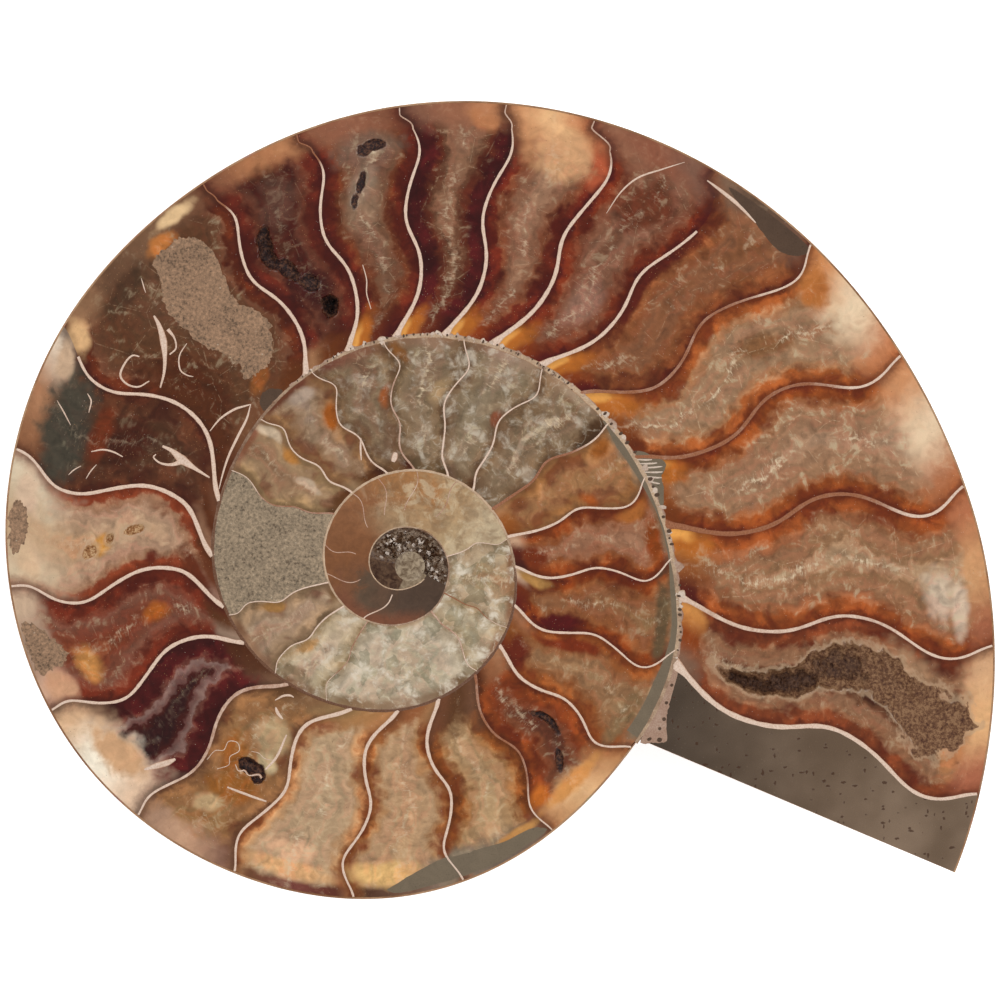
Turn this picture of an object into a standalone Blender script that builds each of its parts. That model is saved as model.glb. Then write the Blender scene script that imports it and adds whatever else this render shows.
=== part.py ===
"""One polished half of a fossil ammonite, lying on its natural flank.

The shell was sawn through its middle plane.  The flat face looks up, the ribbed flank is
underneath, and the wide end is a second, straight saw cut across the last whorl.
Metres, +Z up, origin on the ground below the middle of the object.
"""
import math

import bmesh
import bpy

MM = 0.001

# Driving dimensions
FACE_HEIGHT = 17.0 * MM                 # ground to polished face
COIL_CENTRE = (-11.71 * MM, -8.63 * MM)  # middle of the first whorl, from the middle of the object
FIRST_ANGLE = -30.0                     # degrees, where the last whorl is sawn off at its rim
TURNS = 3                               # turns of shell that the flank shows
SEAM_SHARE = 0.42                       # a whorl covers the one before it down to this part of its radius
SHOULDER = 0.16                         # where the flank is deepest, from the seam (0) to the rim (1)
FLANK_POWER = 2.3                       # how late the flank turns up into the rim

# The saw cut at the wide end: its direction, and how far it passes from the middle of the coil
SAW_LEAN = -22.9                        # degrees
SAW_OFFSET = 9.1 * MM
SAW_START = 14.5 * MM                   # radius of the seam that the cut begins at

# Radius of the spiral rim, in mm, at angles counted inwards along the shell from the wide end
RIM_RADII = (
    (-90, 92.0), (-60, 86.4), (-30, 81.4), (-15, 78.3), (0, 75.0), (15, 71.4), (30, 68.5),
    (60, 64.0), (90, 60.1), (120, 56.6), (150, 54.6), (180, 52.4), (210, 49.6), (240, 46.0),
    (270, 42.8), (300, 39.0), (315, 37.6), (330, 37.0), (345, 36.1), (360, 34.3), (390, 32.2),
    (420, 31.0), (450, 29.9), (480, 28.2), (510, 26.5), (540, 25.5), (570, 23.2), (600, 20.5),
    (660, 16.4), (720, 13.6), (780, 12.7), (840, 12.2), (900, 11.1), (960, 8.6), (1020, 6.3),
    (1080, 5.1), (1200, 4.6), (1320, 3.5), (1500, 2.4),
)
# Depth of the flank's shoulder below the polished face, in mm, at the same kind of angle
SHOULDER_DEPTHS = (
    (-90, 17.0), (30, 17.0), (120, 16.9), (210, 16.6), (270, 14.2), (330, 11.6), (420, 9.2),
    (540, 7.4), (720, 5.6), (1080, 3.8), (1500, 2.8),
)

# Mesh: spokes round the coil, and points along each spoke
SPOKES = 96
SAW_SPREAD = 16                         # spokes on each side of the cut that lean with it
SHOULDER_POINT = 3                      # points from a whorl's seam to its shoulder
COVERED_FROM = 5                        # points from the seam to where the next whorl covers this one
RIM_POINT = 16                          # points from the seam to the rim

STONE_COLOUR = (0.36, 0.21, 0.12, 1.0)
STONE_ROUGHNESS = 0.35


def smooth_value(table, angle):
    """Read a smooth curve through the table's points, one cubic between each pair."""
    last = len(table) - 2
    at = 0
    while at < last and table[at + 1][0] <= angle:
        at += 1
    (x0, y0), (x1, y1) = table[at], table[at + 1]

    def slope(index):
        before = table[max(index - 1, 0)]
        after = table[min(index + 1, len(table) - 1)]
        return (after[1] - before[1]) / (after[0] - before[0])

    width = x1 - x0
    t = min(max((angle - x0) / width, 0.0), 1.0)
    return (
        (2 * t ** 3 - 3 * t ** 2 + 1) * y0 + (t ** 3 - 2 * t ** 2 + t) * width * slope(at)
        + (3 * t ** 2 - 2 * t ** 3) * y1 + (t ** 3 - t ** 2) * width * slope(at + 1)
    )


def rim_radius(angle):
    return smooth_value(RIM_RADII, angle) * MM


def seam_radius(angle):
    """Radius of the umbilical seam, where a whorl meets the flank of the one inside it."""
    return SEAM_SHARE * rim_radius(angle + 360)


def flank_depth(angle, radius):
    """Depth of the outer surface of the whorl at this angle, below the polished face."""
    shoulder_depth = min(smooth_value(SHOULDER_DEPTHS, angle) * MM, FACE_HEIGHT)
    seam = seam_radius(angle)
    across = (radius - seam) / (rim_radius(angle) - seam)
    if across < SHOULDER:
        inner_angle = angle + 360
        innermost = inner_angle > RIM_RADII[-1][0] - 360
        seam_depth = shoulder_depth * 0.9 if innermost else flank_depth(inner_angle, seam)
        climb = math.sqrt(1 - (1 - max(across, 0.0) / SHOULDER) ** 2)
        return seam_depth + (shoulder_depth - seam_depth) * climb
    towards_rim = min((across - SHOULDER) / (1 - SHOULDER), 1.0)
    return shoulder_depth * math.sqrt(1 - towards_rim ** FLANK_POWER)


def spoke_angle(row, radius):
    """Angle of a spoke at a radius. The spokes next to the saw cut lean until they lie in it."""
    from_cut = min(row % SPOKES, SPOKES - row % SPOKES)
    lean = max(0.0, 1 - from_cut / SAW_SPREAD)
    cut_angle = SAW_LEAN - math.degrees(math.asin(SAW_OFFSET / max(radius, SAW_START)))
    return FIRST_ANGLE + row * 360 / SPOKES + lean * (cut_angle - FIRST_ANGLE)


def column_radius(column, angle):
    """Radius of one point of a whorl's section, counted from its seam to its rim."""
    rim = rim_radius(angle)
    seam = seam_radius(angle)
    covered = SEAM_SHARE * rim
    shoulder = seam + (rim - seam) * SHOULDER
    if column <= SHOULDER_POINT:
        turn = math.pi / 2 * column / SHOULDER_POINT
        return seam + (shoulder - seam) * (1 - math.cos(turn))
    if column <= COVERED_FROM:
        share = (column - SHOULDER_POINT) / (COVERED_FROM - SHOULDER_POINT)
        return shoulder + (covered - shoulder) * share
    turn = math.pi / 2 * (column - COVERED_FROM) / (RIM_POINT - COVERED_FROM)
    return covered + (rim - covered) * math.sin(turn)


def flank_point(row, column):
    angle = FIRST_ANGLE + row * 360 / SPOKES
    for _ in range(12):
        radius = column_radius(column, angle)
        angle = spoke_angle(row, radius)
    depth = 0.0 if column == RIM_POINT else flank_depth(angle, radius)
    turn = math.radians(angle)
    return (
        COIL_CENTRE[0] + radius * math.cos(turn),
        COIL_CENTRE[1] + radius * math.sin(turn),
        FACE_HEIGHT - depth,
    )


def grow_whorls(mesh):
    """Loft the whorls' sections along the spiral. Returns the grid of vertices, row by row."""
    rows = []
    for row in range(TURNS * SPOKES + 1):
        if row <= SPOKES:
            points = [mesh.verts.new(flank_point(row, column)) for column in range(RIM_POINT + 1)]
        else:
            points = [mesh.verts.new(flank_point(row, column)) for column in range(COVERED_FROM)]
        if row >= SPOKES:
            # The covering whorl's seam lies on this whorl, so both share the point there.
            seam_point = rows[row - SPOKES][0]
            if row == SPOKES:
                mesh.verts.remove(points[COVERED_FROM])
                points[COVERED_FROM] = seam_point
            else:
                points.append(seam_point)
        rows.append(points)
    for row in range(TURNS * SPOKES):
        here, following = rows[row], rows[row + 1]
        columns = RIM_POINT if row < SPOKES else COVERED_FROM
        for column in range(columns):
            mesh.faces.new((
                here[column], here[column + 1], following[column + 1], following[column],
            ))
    return rows


def close_cuts(mesh, rows):
    """Close the solid: the polished face, the sawn end and the tip in the umbilicus."""
    rim = [rows[row][RIM_POINT] for row in range(SPOKES + 1)]
    mesh.faces.new(rim)
    sawn_outer = rows[0]
    sawn_inner = rows[SPOKES][COVERED_FROM + 1:]
    mesh.faces.new(sawn_outer + sawn_inner[::-1])
    spiral_tip = [rows[row][0] for row in range((TURNS - 1) * SPOKES, TURNS * SPOKES + 1)]
    tip_end = rows[TURNS * SPOKES][1:COVERED_FROM]
    mesh.faces.new(spiral_tip + tip_end)


def stone_material():
    material = bpy.data.materials.new("polished_stone")
    material.use_nodes = True
    surface = material.node_tree.nodes["Principled BSDF"]
    surface.inputs["Base Color"].default_value = STONE_COLOUR
    surface.inputs["Roughness"].default_value = STONE_ROUGHNESS
    surface.inputs["Metallic"].default_value = 0.0
    return material


def build_half(collection):
    mesh = bmesh.new()
    rows = grow_whorls(mesh)
    close_cuts(mesh, rows)
    bmesh.ops.triangulate(mesh, faces=[face for face in mesh.faces if len(face.verts) > 4])
    bmesh.ops.recalc_face_normals(mesh, faces=mesh.faces)
    data = bpy.data.meshes.new("ammonite_half")
    mesh.to_mesh(data)
    mesh.free()
    data.shade_smooth()
    data.set_sharp_from_angle(angle=math.radians(35))
    data.materials.append(stone_material())
    half = bpy.data.objects.new("ammonite_half", data)
    collection.objects.link(half)


for leftover in list(bpy.data.objects):
    bpy.data.objects.remove(leftover)
ammonite = bpy.data.collections.new("ammonite_fossil")
bpy.context.scene.collection.children.link(ammonite)
build_half(ammonite)
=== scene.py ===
"""Half of a fossil ammonite, sawn through its middle plane and polished, lying on its flank."""
import math

import bmesh
import bpy
import numpy as np
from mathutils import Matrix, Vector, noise


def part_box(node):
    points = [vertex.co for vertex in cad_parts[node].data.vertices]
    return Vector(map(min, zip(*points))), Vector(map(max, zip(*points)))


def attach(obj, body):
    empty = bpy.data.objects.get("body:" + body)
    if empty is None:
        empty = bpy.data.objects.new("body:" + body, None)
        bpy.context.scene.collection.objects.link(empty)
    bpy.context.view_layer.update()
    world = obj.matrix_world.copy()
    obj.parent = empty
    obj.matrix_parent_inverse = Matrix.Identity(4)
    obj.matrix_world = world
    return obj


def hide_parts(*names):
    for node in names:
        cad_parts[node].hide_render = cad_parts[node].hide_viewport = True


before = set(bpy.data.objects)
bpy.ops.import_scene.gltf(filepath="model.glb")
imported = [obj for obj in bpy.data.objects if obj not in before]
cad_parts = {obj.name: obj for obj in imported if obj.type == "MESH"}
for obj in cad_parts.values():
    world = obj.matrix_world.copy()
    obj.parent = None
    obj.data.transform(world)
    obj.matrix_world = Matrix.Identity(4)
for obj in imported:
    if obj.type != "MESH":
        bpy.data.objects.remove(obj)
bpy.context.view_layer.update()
bpy.ops.object.select_all(action="DESELECT")

# ---------------------------------------------------------------- table, light and camera
# The half lies on a white, faintly lit table under soft light from the sides, as in a catalogue.
# Nothing bright hangs straight above it, so the polished face keeps its deep colours.
MM = 0.001
low, high = (np.array(corner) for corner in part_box("ammonite_half"))
FACE = high[2]                                  # height of the polished plane
VIEW_WIDTH = 0.130
CAMERA_HEIGHT = 1.6
LIGHT_GAIN = 1.3                                # how bright a white surface looks in this light
SHEEN = 0.015                                   # what the polish reflects on top of the colour


def paint(red, green, blue):
    """A colour as the eye sees it, 0 to 255, as the reflectance that gives it in this light."""
    linear = []
    for value in (red, green, blue):
        value /= 255
        value = value / 12.92 if value <= 0.04045 else ((value + 0.055) / 1.055) ** 2.4
        linear.append(max(value - SHEEN, 0.004) / LIGHT_GAIN)
    return (*linear, 1.0)


bpy.ops.mesh.primitive_plane_add(size=8, location=(0, 0, 0))
table = bpy.context.object
table.name = "table_top"
white = bpy.data.materials.new("white_table")
white.use_nodes = True
sockets = white.node_tree.nodes["Principled BSDF"].inputs
sockets["Base Color"].default_value = (0.94, 0.94, 0.94, 1)
sockets["Roughness"].default_value = 0.9
sockets["Emission Color"].default_value = (1, 1, 1, 1)
sockets["Emission Strength"].default_value = 0.56
table.data.materials.append(white)

world = bpy.data.worlds.new("studio")
bpy.context.scene.world = world
world.use_nodes = True
sockets = world.node_tree.nodes["Background"].inputs
sockets["Color"].default_value = (1.0, 0.985, 0.97, 1)
sockets["Strength"].default_value = 0.5

SOFTBOX_SIZE = 0.55
SOFTBOX_AWAY = 0.62                             # metres from the middle, to the side
SOFTBOX_HEIGHT = 0.78
SOFTBOX_TILT = math.radians(38.5)
for azimuth, watts in ((5, 2.9), (95, 2.7), (150, 2.4), (300, 2.6)):
    turn = math.radians(azimuth)
    place = (SOFTBOX_AWAY * math.cos(turn), SOFTBOX_AWAY * math.sin(turn), SOFTBOX_HEIGHT)
    bpy.ops.object.light_add(type="AREA", location=place, rotation=(0, SOFTBOX_TILT, turn))
    softbox = bpy.context.object
    softbox.data.shape = "SQUARE"
    softbox.data.size = SOFTBOX_SIZE
    softbox.data.energy = watts

bpy.ops.object.camera_add(location=(0, 0, FACE + CAMERA_HEIGHT), rotation=(0, 0, 0))
camera = bpy.context.object
camera.data.sensor_width = 36
camera.data.lens = 36 * CAMERA_HEIGHT / VIEW_WIDTH
camera.data.clip_end = 20
bpy.context.scene.camera = camera
bpy.context.scene.view_settings.view_transform = "Standard"

# ---------------------------------------------------------------- natural flank
# The outside of the shell, one piece with the stone in it: three whorls of ribbed, pearly
# aragonite that each cover most of the one before, and the straight saw cut at the wide end.
# The shell grew along a spiral, and the half's top is sunk a little to take the face's stones.
COIL = np.array([low[0] + 52.59 * MM, low[1] + 43.26 * MM])
SEAM_SHARE = 0.42                               # where one whorl meets the next, by its rim
SHOULDER = 0.16                                 # share of the way out at which a whorl is deepest
FLANK_POWER = 2.3                               # 2 would make the whorl's side an ellipse
RIB_DEPTH = 0.7                                 # all lengths here are in mm, all angles in degrees
RIBS_PER_TURN = 72
SAW_LEAN = -22.9                                # direction of the saw cut
SAW_OFFSET = 9.1                                # how far the cut passes from the coil's middle
SAW_START = 14.5
FIRST_ANGLE = -30.0
TURNS = 3
RIM_RADII = (
    (-90, 92.0), (-60, 86.4), (-30, 81.4), (-15, 78.3), (0, 75.0), (15, 71.4), (30, 68.5),
    (60, 64.0), (90, 60.1), (120, 56.6), (150, 54.6), (180, 52.4), (210, 49.6), (240, 46.0),
    (270, 42.8), (300, 39.0), (315, 37.6), (330, 37.0), (345, 36.1), (360, 34.3), (390, 32.2),
    (420, 31.0), (450, 29.9), (480, 28.2), (510, 26.5), (540, 25.5), (570, 23.2), (600, 20.5),
    (630, 18.4), (660, 16.4), (690, 14.9), (720, 13.6), (750, 13.0), (780, 12.7), (810, 12.5),
    (840, 12.2), (870, 11.8), (900, 11.1), (930, 10.0), (960, 8.6), (990, 7.3), (1020, 6.3),
    (1050, 5.4), (1080, 5.05), (1110, 4.9), (1140, 4.95), (1170, 5.1), (1200, 5.4), (1230, 5.5),
    (1260, 5.25), (1290, 4.5), (1320, 3.5), (1350, 2.75), (1380, 2.5), (1500, 2.4),
)
SHOULDER_DEPTHS = (
    (-90, 17.0), (30, 17.0), (120, 16.9), (210, 16.6), (270, 14.2), (330, 11.6), (420, 9.2),
    (540, 7.4), (720, 5.6), (1080, 3.8), (1500, 2.8),
)


def smooth_curve(table, steps):
    """Values at the steps, on a smooth curve through the table's points."""
    xs, ys = np.array(table, float).T
    slopes = np.gradient(ys, xs)
    slopes[1:-1] = (ys[2:] - ys[:-2]) / (xs[2:] - xs[:-2])
    at = np.clip(np.searchsorted(xs, steps, side="right") - 1, 0, len(xs) - 2)
    width = xs[at + 1] - xs[at]
    t = np.clip((steps - xs[at]) / width, 0, 1)
    return (
        (2 * t ** 3 - 3 * t ** 2 + 1) * ys[at] + (t ** 3 - 2 * t ** 2 + t) * width * slopes[at]
        + (3 * t ** 2 - 2 * t ** 3) * ys[at + 1] + (t ** 3 - t ** 2) * width * slopes[at + 1]
    )


DEGREES = np.arange(-90.0, 1500.5, 0.5)
RIM_CURVE = smooth_curve(RIM_RADII, DEGREES)
DEPTH_CURVE = np.minimum(smooth_curve(SHOULDER_DEPTHS, DEGREES), 17.0)


def rim_radius(angle):
    return np.interp(angle, DEGREES, RIM_CURVE)


def flank_depth(angle, radius, ribs):
    """Depth of a whorl's outer surface below the face, in mm, with or without its ribs."""
    shoulder_depth = np.interp(angle, DEGREES, DEPTH_CURVE)
    seam = SEAM_SHARE * rim_radius(angle + 360)
    across = (radius - seam) / (rim_radius(angle) - seam)
    towards_rim = np.clip((across - SHOULDER) / (1 - SHOULDER), 0, 1)
    depth = shoulder_depth * np.sqrt(1 - towards_rim ** FLANK_POWER)
    if np.max(angle) < 1140:
        seam_depth = flank_depth(angle + 360, seam, False)
    else:
        seam_depth = shoulder_depth * 0.9
    climb = np.sqrt(1 - (1 - np.clip(across / SHOULDER, 0, 1)) ** 2)
    depth = np.where(across < SHOULDER, seam_depth + (shoulder_depth - seam_depth) * climb, depth)
    if ribs:
        sway = 5.5 * np.sin(across * 5.2 + 0.4) + 3.0 * across
        beat = np.cos(np.radians((angle - sway) * RIBS_PER_TURN))
        fine = np.cos(np.radians((angle - sway) * RIBS_PER_TURN * 4))
        strength = np.clip((across - 0.1) / 0.35, 0, 1) * np.clip((1 - across) * 14, 0, 1)
        groove = RIB_DEPTH * (0.5 - 0.5 * beat) ** 1.4 + 0.07 * (0.5 - 0.5 * fine)
        depth = depth - strength * groove * shoulder_depth / 17.0
    return depth


def spoke_angle(row, rows, radius):
    """Angle of a spoke round the coil. Those next to the saw cut lean until they lie in it."""
    from_cut = np.minimum(row % rows, rows - row % rows)
    lean = np.clip(1 - from_cut / (rows / 6), 0, 1)
    cut_angle = SAW_LEAN - np.degrees(np.arcsin(SAW_OFFSET / np.maximum(radius, SAW_START)))
    return FIRST_ANGLE + row * 360 / rows + lean * (cut_angle - FIRST_ANGLE)


def add_grid(name, columns, rows):
    """A flat grid of quads. Returns it with its points' places across and along, 0 to 1."""
    bpy.ops.object.select_all(action="DESELECT")
    bpy.ops.mesh.primitive_grid_add(x_subdivisions=columns, y_subdivisions=rows, size=1)
    piece = bpy.context.object
    piece.name = name
    piece.data.name = name
    points = np.zeros(len(piece.data.vertices) * 3)
    piece.data.vertices.foreach_get("co", points)
    points = points.reshape(-1, 3)
    return piece, points[:, 0] + 0.5, points[:, 1] + 0.5


def place_points(piece, x, y, z):
    piece.data.vertices.foreach_set("co", np.stack([x, y, z], axis=1).astype(np.float32).ravel())
    piece.data.update()


def keep_values(piece, **values):
    """Store a number for each point, which the piece's material reads."""
    for name, numbers in values.items():
        attribute = piece.data.attributes.new(name, "FLOAT", "POINT")
        attribute.data.foreach_set("value", np.asarray(numbers, np.float32))


def grow_strip(name, first_row, last_row, rows, seam_points, rim_points, whole):
    """One stretch of a whorl's outside, from its seam to its rim or to where it is covered."""
    columns = seam_points + (rim_points if whole else 0)
    piece, u, v = add_grid(name, columns, last_row - first_row)
    row = np.round(first_row + v * (last_row - first_row))
    column = np.round(u * columns)
    angle = FIRST_ANGLE + row * 360 / rows
    for _ in range(14):
        rim = rim_radius(angle)
        seam = SEAM_SHARE * rim_radius(angle + 360)
        covered = SEAM_SHARE * rim
        inner = seam + (covered - seam) * np.clip(column / seam_points, 0, 1) ** 1.3
        turn = np.clip(column - seam_points, 0, None) / rim_points * math.pi / 2
        radius = np.where(column <= seam_points, inner, covered + (rim - covered) * np.sin(turn))
        angle = spoke_angle(row, rows, radius)
    depth = flank_depth(angle, radius, True)
    unribbed = flank_depth(angle, radius, False)
    keep_values(piece, groove=(unribbed - depth) / RIB_DEPTH)
    depth[column == seam_points + rim_points] = 0
    plain = (column == seam_points) | (column == 0)
    depth[plain] = unribbed[plain]
    turn = np.radians(angle)
    place_points(
        piece, COIL[0] + radius * MM * np.cos(turn), COIL[1] + radius * MM * np.sin(turn),
        FACE - depth * MM,
    )
    return piece


ROWS = 480
SEAM_POINTS = 12
RIM_POINTS = 26
last_whorl = grow_strip("natural_flank", 0, ROWS, ROWS, SEAM_POINTS, RIM_POINTS, True)
inner_whorls = grow_strip("inner_whorls", ROWS, TURNS * ROWS, ROWS, SEAM_POINTS, RIM_POINTS, False)
with bpy.context.temp_override(
    active_object=last_whorl, selected_editable_objects=[last_whorl, inner_whorls]
):
    bpy.ops.object.join()
flank = last_whorl
bpy.ops.object.select_all(action="DESELECT")
flank.select_set(True)
bpy.context.view_layer.objects.active = flank
bpy.ops.object.mode_set(mode="EDIT")
bpy.ops.mesh.select_all(action="SELECT")
bpy.ops.mesh.remove_doubles(threshold=0.002 * MM)
bpy.ops.object.mode_set(mode="OBJECT")


def walk_open_edges(shape):
    """The mesh's open edges as closed rings of vertices, the longest first."""
    open_edges = {edge for edge in shape.edges if edge.is_boundary}
    rings = []
    while open_edges:
        edge = open_edges.pop()
        ring = [edge.verts[0], edge.verts[1]]
        while True:
            onward = [link for link in ring[-1].link_edges if link in open_edges]
            if not onward:
                break
            open_edges.discard(onward[0])
            ring.append(onward[0].other_vert(ring[-1]))
        rings.append(ring[:-1] if ring[-1] == ring[0] else ring)
    return sorted(rings, key=len, reverse=True)


shape = bmesh.new()
shape.from_mesh(flank.data)
rings = walk_open_edges(shape)
outline, tip = rings[0], rings[1]
on_face = [abs(vert.co.z - FACE) < 0.001 * MM for vert in outline]
start = next(i for i in range(len(outline)) if on_face[i] and not on_face[i - 1])
outline = outline[start:] + outline[:start]
rim_count = sum(on_face)
rim, section = outline[:rim_count], outline[rim_count:]
top_face = shape.faces.new(rim)
sawn_end = shape.faces.new([rim[-1], *section, rim[0]])
shape.faces.new(tip)
bmesh.ops.recalc_face_normals(shape, faces=shape.faces)
RIM_STEP = (0.25, 1.2)                          # width left standing round the rim, and its depth
FLOOR_STEP = (3.0, 1.6)
for margin, sink in (RIM_STEP, FLOOR_STEP):
    bmesh.ops.inset_individual(shape, faces=[top_face], thickness=margin * MM, use_even_offset=True)
    bmesh.ops.inset_individual(shape, faces=[top_face], thickness=0.001 * MM)
    bmesh.ops.translate(shape, verts=top_face.verts, vec=(0, 0, -sink * MM))
bmesh.ops.inset_individual(shape, faces=[sawn_end], thickness=0.6 * MM, use_even_offset=True)
sawn_end.material_index = 1
shape.to_mesh(flank.data)
shape.free()
bpy.ops.object.shade_smooth_by_angle(angle=math.radians(38))


class Wire:
    """An output in a material's node tree. Sums and products of wires add Math nodes."""

    def __init__(self, tree, socket):
        self.tree = tree
        self.socket = socket

    def node(self, kind, values, output=0, **settings):
        """Add a node with its settings, then its sockets' values or links."""
        node = self.tree.nodes.new(kind)
        for name, value in settings.items():
            if name == "stops":
                ramp = node.color_ramp
                ramp.interpolation = "EASE"
                for place, colour in value[1:-1]:
                    ramp.elements.new(place)
                for element, (place, colour) in zip(ramp.elements, value):
                    element.position = place
                    element.color = colour
            else:
                setattr(node, name, value)
        for name, value in values.items():
            if isinstance(value, Wire):
                self.tree.links.new(value.socket, node.inputs[name])
            elif value is not None:
                node.inputs[name].default_value = value
        return Wire(self.tree, node.outputs[output])

    def math(self, operation, *others):
        return self.node(
            "ShaderNodeMath", dict(enumerate((self, *others))), operation=operation
        )

    def __add__(self, other):
        return self.math("ADD", other)

    __radd__ = __add__

    def __mul__(self, other):
        return self.math("MULTIPLY", other)

    __rmul__ = __mul__

    def __sub__(self, other):
        return self.math("SUBTRACT", other)

    def __rsub__(self, other):
        return self * -1 + other

    def __truediv__(self, other):
        return self.math("DIVIDE", other)

    def least(self, other):
        return self.math("MINIMUM", other)

    def most(self, other):
        return self.math("MAXIMUM", other)

    def between(self, start, end):
        """0 up to start, 1 from end on, and smooth between them. Start may be above end."""
        return self.node(
            "ShaderNodeMapRange", {0: self, 1: start, 2: end, 3: 0.0, 4: 1.0},
            interpolation_type="SMOOTHSTEP",
        )

    def blend(self, colour_off, colour_on, how="MIX"):
        """Two colours mixed by this wire."""
        return self.node(
            "ShaderNodeMix", {0: self, 6: colour_off, 7: colour_on}, output=2,
            data_type="RGBA", blend_type=how,
        )

    def stretch(self, *scale):
        return self.node("ShaderNodeVectorMath", {0: self, 1: scale}, operation="MULTIPLY")

    def noise(self, per_mm, detail=3.0, roughness=0.55, warp=0.0):
        return self.node(
            "ShaderNodeTexNoise", {
                "Vector": self, "Scale": per_mm, "Detail": detail, "Roughness": roughness,
                "Distortion": warp,
            },
        )

    def cells(self, per_mm, output=0, feature="F1"):
        return self.node(
            "ShaderNodeTexVoronoi", {"Vector": self, "Scale": per_mm}, output=output,
            feature=feature,
        )


def new_material(name):
    """A material, a wire with the object's place in mm, and its surface shader."""
    material = bpy.data.materials.new(name)
    material.use_nodes = True
    tree = material.node_tree
    surface = tree.nodes["Principled BSDF"]
    place = tree.nodes.new("ShaderNodeTexCoord")
    surface.inputs["Specular IOR Level"].default_value = 0.25
    start = Wire(tree, place.outputs["Object"])
    return material, start.stretch(1000, 1000, 1000), surface


def wire_up(surface, height=None, relief=0.05, **sockets):
    """Connect wires to a surface shader's sockets, and a height to its normal."""
    tree = surface.id_data
    if height is not None:
        bump = height.node("ShaderNodeBump", {
            "Height": height, "Distance": relief * MM, "Strength": 1.0,
        })
        tree.links.new(bump.socket, surface.inputs["Normal"])
    for name, value in sockets.items():
        socket = surface.inputs[name.replace("_", " ")]
        if isinstance(value, Wire):
            tree.links.new(value.socket, socket)
        else:
            socket.default_value = value


def natural_shell():
    """Brown and cream shell with growth lines, worn to pearly patches and darker pits."""
    material, place, surface = new_material("natural_shell")
    cloud = place.noise(0.055, 4, 0.6, 0.6)
    mottle = place.noise(0.32, 4, 0.6)
    grain = place.noise(2.6, 3, 0.6)
    colour = cloud.node("ShaderNodeValToRGB", {0: cloud * 0.65 + mottle * 0.35}, stops=(
        (0.28, paint(112, 74, 52)), (0.42, paint(146, 104, 72)), (0.5, paint(172, 132, 98)),
        (0.58, paint(186, 150, 116)), (0.66, paint(158, 112, 80)), (0.78, paint(126, 84, 60)),
    ))
    pearl = place.noise(0.16, 3, 0.6, 1.5).between(0.56, 0.66)
    hue = place.noise(0.4, 2).node(
        "ShaderNodeValToRGB", {0: place.noise(0.4, 2)}, stops=(
            (0.3, paint(120, 140, 104)), (0.45, paint(186, 150, 120)), (0.6, paint(176, 108, 96)),
            (0.72, paint(128, 118, 140)),
        ))
    colour = (pearl * 0.5).blend(colour, hue)
    groove = place.node(
        "ShaderNodeAttribute", {}, output=2, attribute_type="GEOMETRY", attribute_name="groove")
    groove = (groove + (mottle - 0.5) * 0.8).between(0.15, 0.9)
    colour = (groove * 0.7).blend(colour, paint(98, 62, 44))
    pits = place.cells(0.9).between(0.16, 0.05) * mottle.between(0.5, 0.6)
    colour = (pits * 0.7).blend(colour, paint(52, 36, 28))
    colour = grain.between(0.35, 0.7).blend(colour, (0.8, 0.78, 0.76, 1), "MULTIPLY")
    wire_up(
        surface, height=grain * 0.5 + mottle * 0.8 - pits, relief=0.12,
        Base_Color=colour, Roughness=grain * 0.3 + 0.16 + pits * 0.3,
    )
    surface.inputs["Coat Weight"].default_value = 0.25
    surface.inputs["Coat Roughness"].default_value = 0.18
    return material


def hardened_mud():
    """Grey-brown mud turned to stone, with dark shell crumbs lying in it."""
    material, place, surface = new_material("hardened_mud")
    cloud = place.noise(0.09, 3, 0.5)
    dust = place.noise(4.0, 3, 0.7)
    colour = cloud.between(0.3, 0.72).blend(paint(98, 81, 66), paint(126, 107, 90))
    colour = dust.between(0.3, 0.7).blend(colour, (0.9, 0.9, 0.9, 1), "MULTIPLY")
    outward = place.node("ShaderNodeSeparateXYZ", {0: place}).between(14, 50) * 0.85 + 0.4
    colour = colour.node("ShaderNodeVectorMath", {0: colour, 3: outward}, operation="SCALE")
    crumbs = None
    for stretch in ((1.2, 0.62, 0.7), (0.56, 1.1, 0.7), (0.9, 1.05, 1.0)):
        scattered = place.stretch(*stretch)
        chosen = scattered.node("ShaderNodeSeparateColor", {0: scattered.cells(1.0, output=1)})
        near = scattered.cells(1.0) + place.noise(2.4, 3, 0.7) * 0.4 - chosen * 0.24
        near = near.between(0.22, 0.15) * chosen.between(0.5, 0.54)
        crumbs = near if crumbs is None else crumbs.most(near)
    colour = (crumbs * 0.8).blend(colour, paint(72, 50, 36))
    pale = place.cells(1.7).between(0.09, 0.05) * 0.35
    colour = pale.blend(colour, paint(170, 150, 130))
    wire_up(surface, height=dust - crumbs, relief=0.015, Base_Color=colour,
            Roughness=dust * 0.16 + 0.2)
    surface.inputs["Coat Weight"].default_value = 0.15
    return material


mud_material = hardened_mud()
flank.data.materials.append(natural_shell())
flank.data.materials.append(mud_material)
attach(flank, "root")
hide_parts("ammonite_half")

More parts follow.
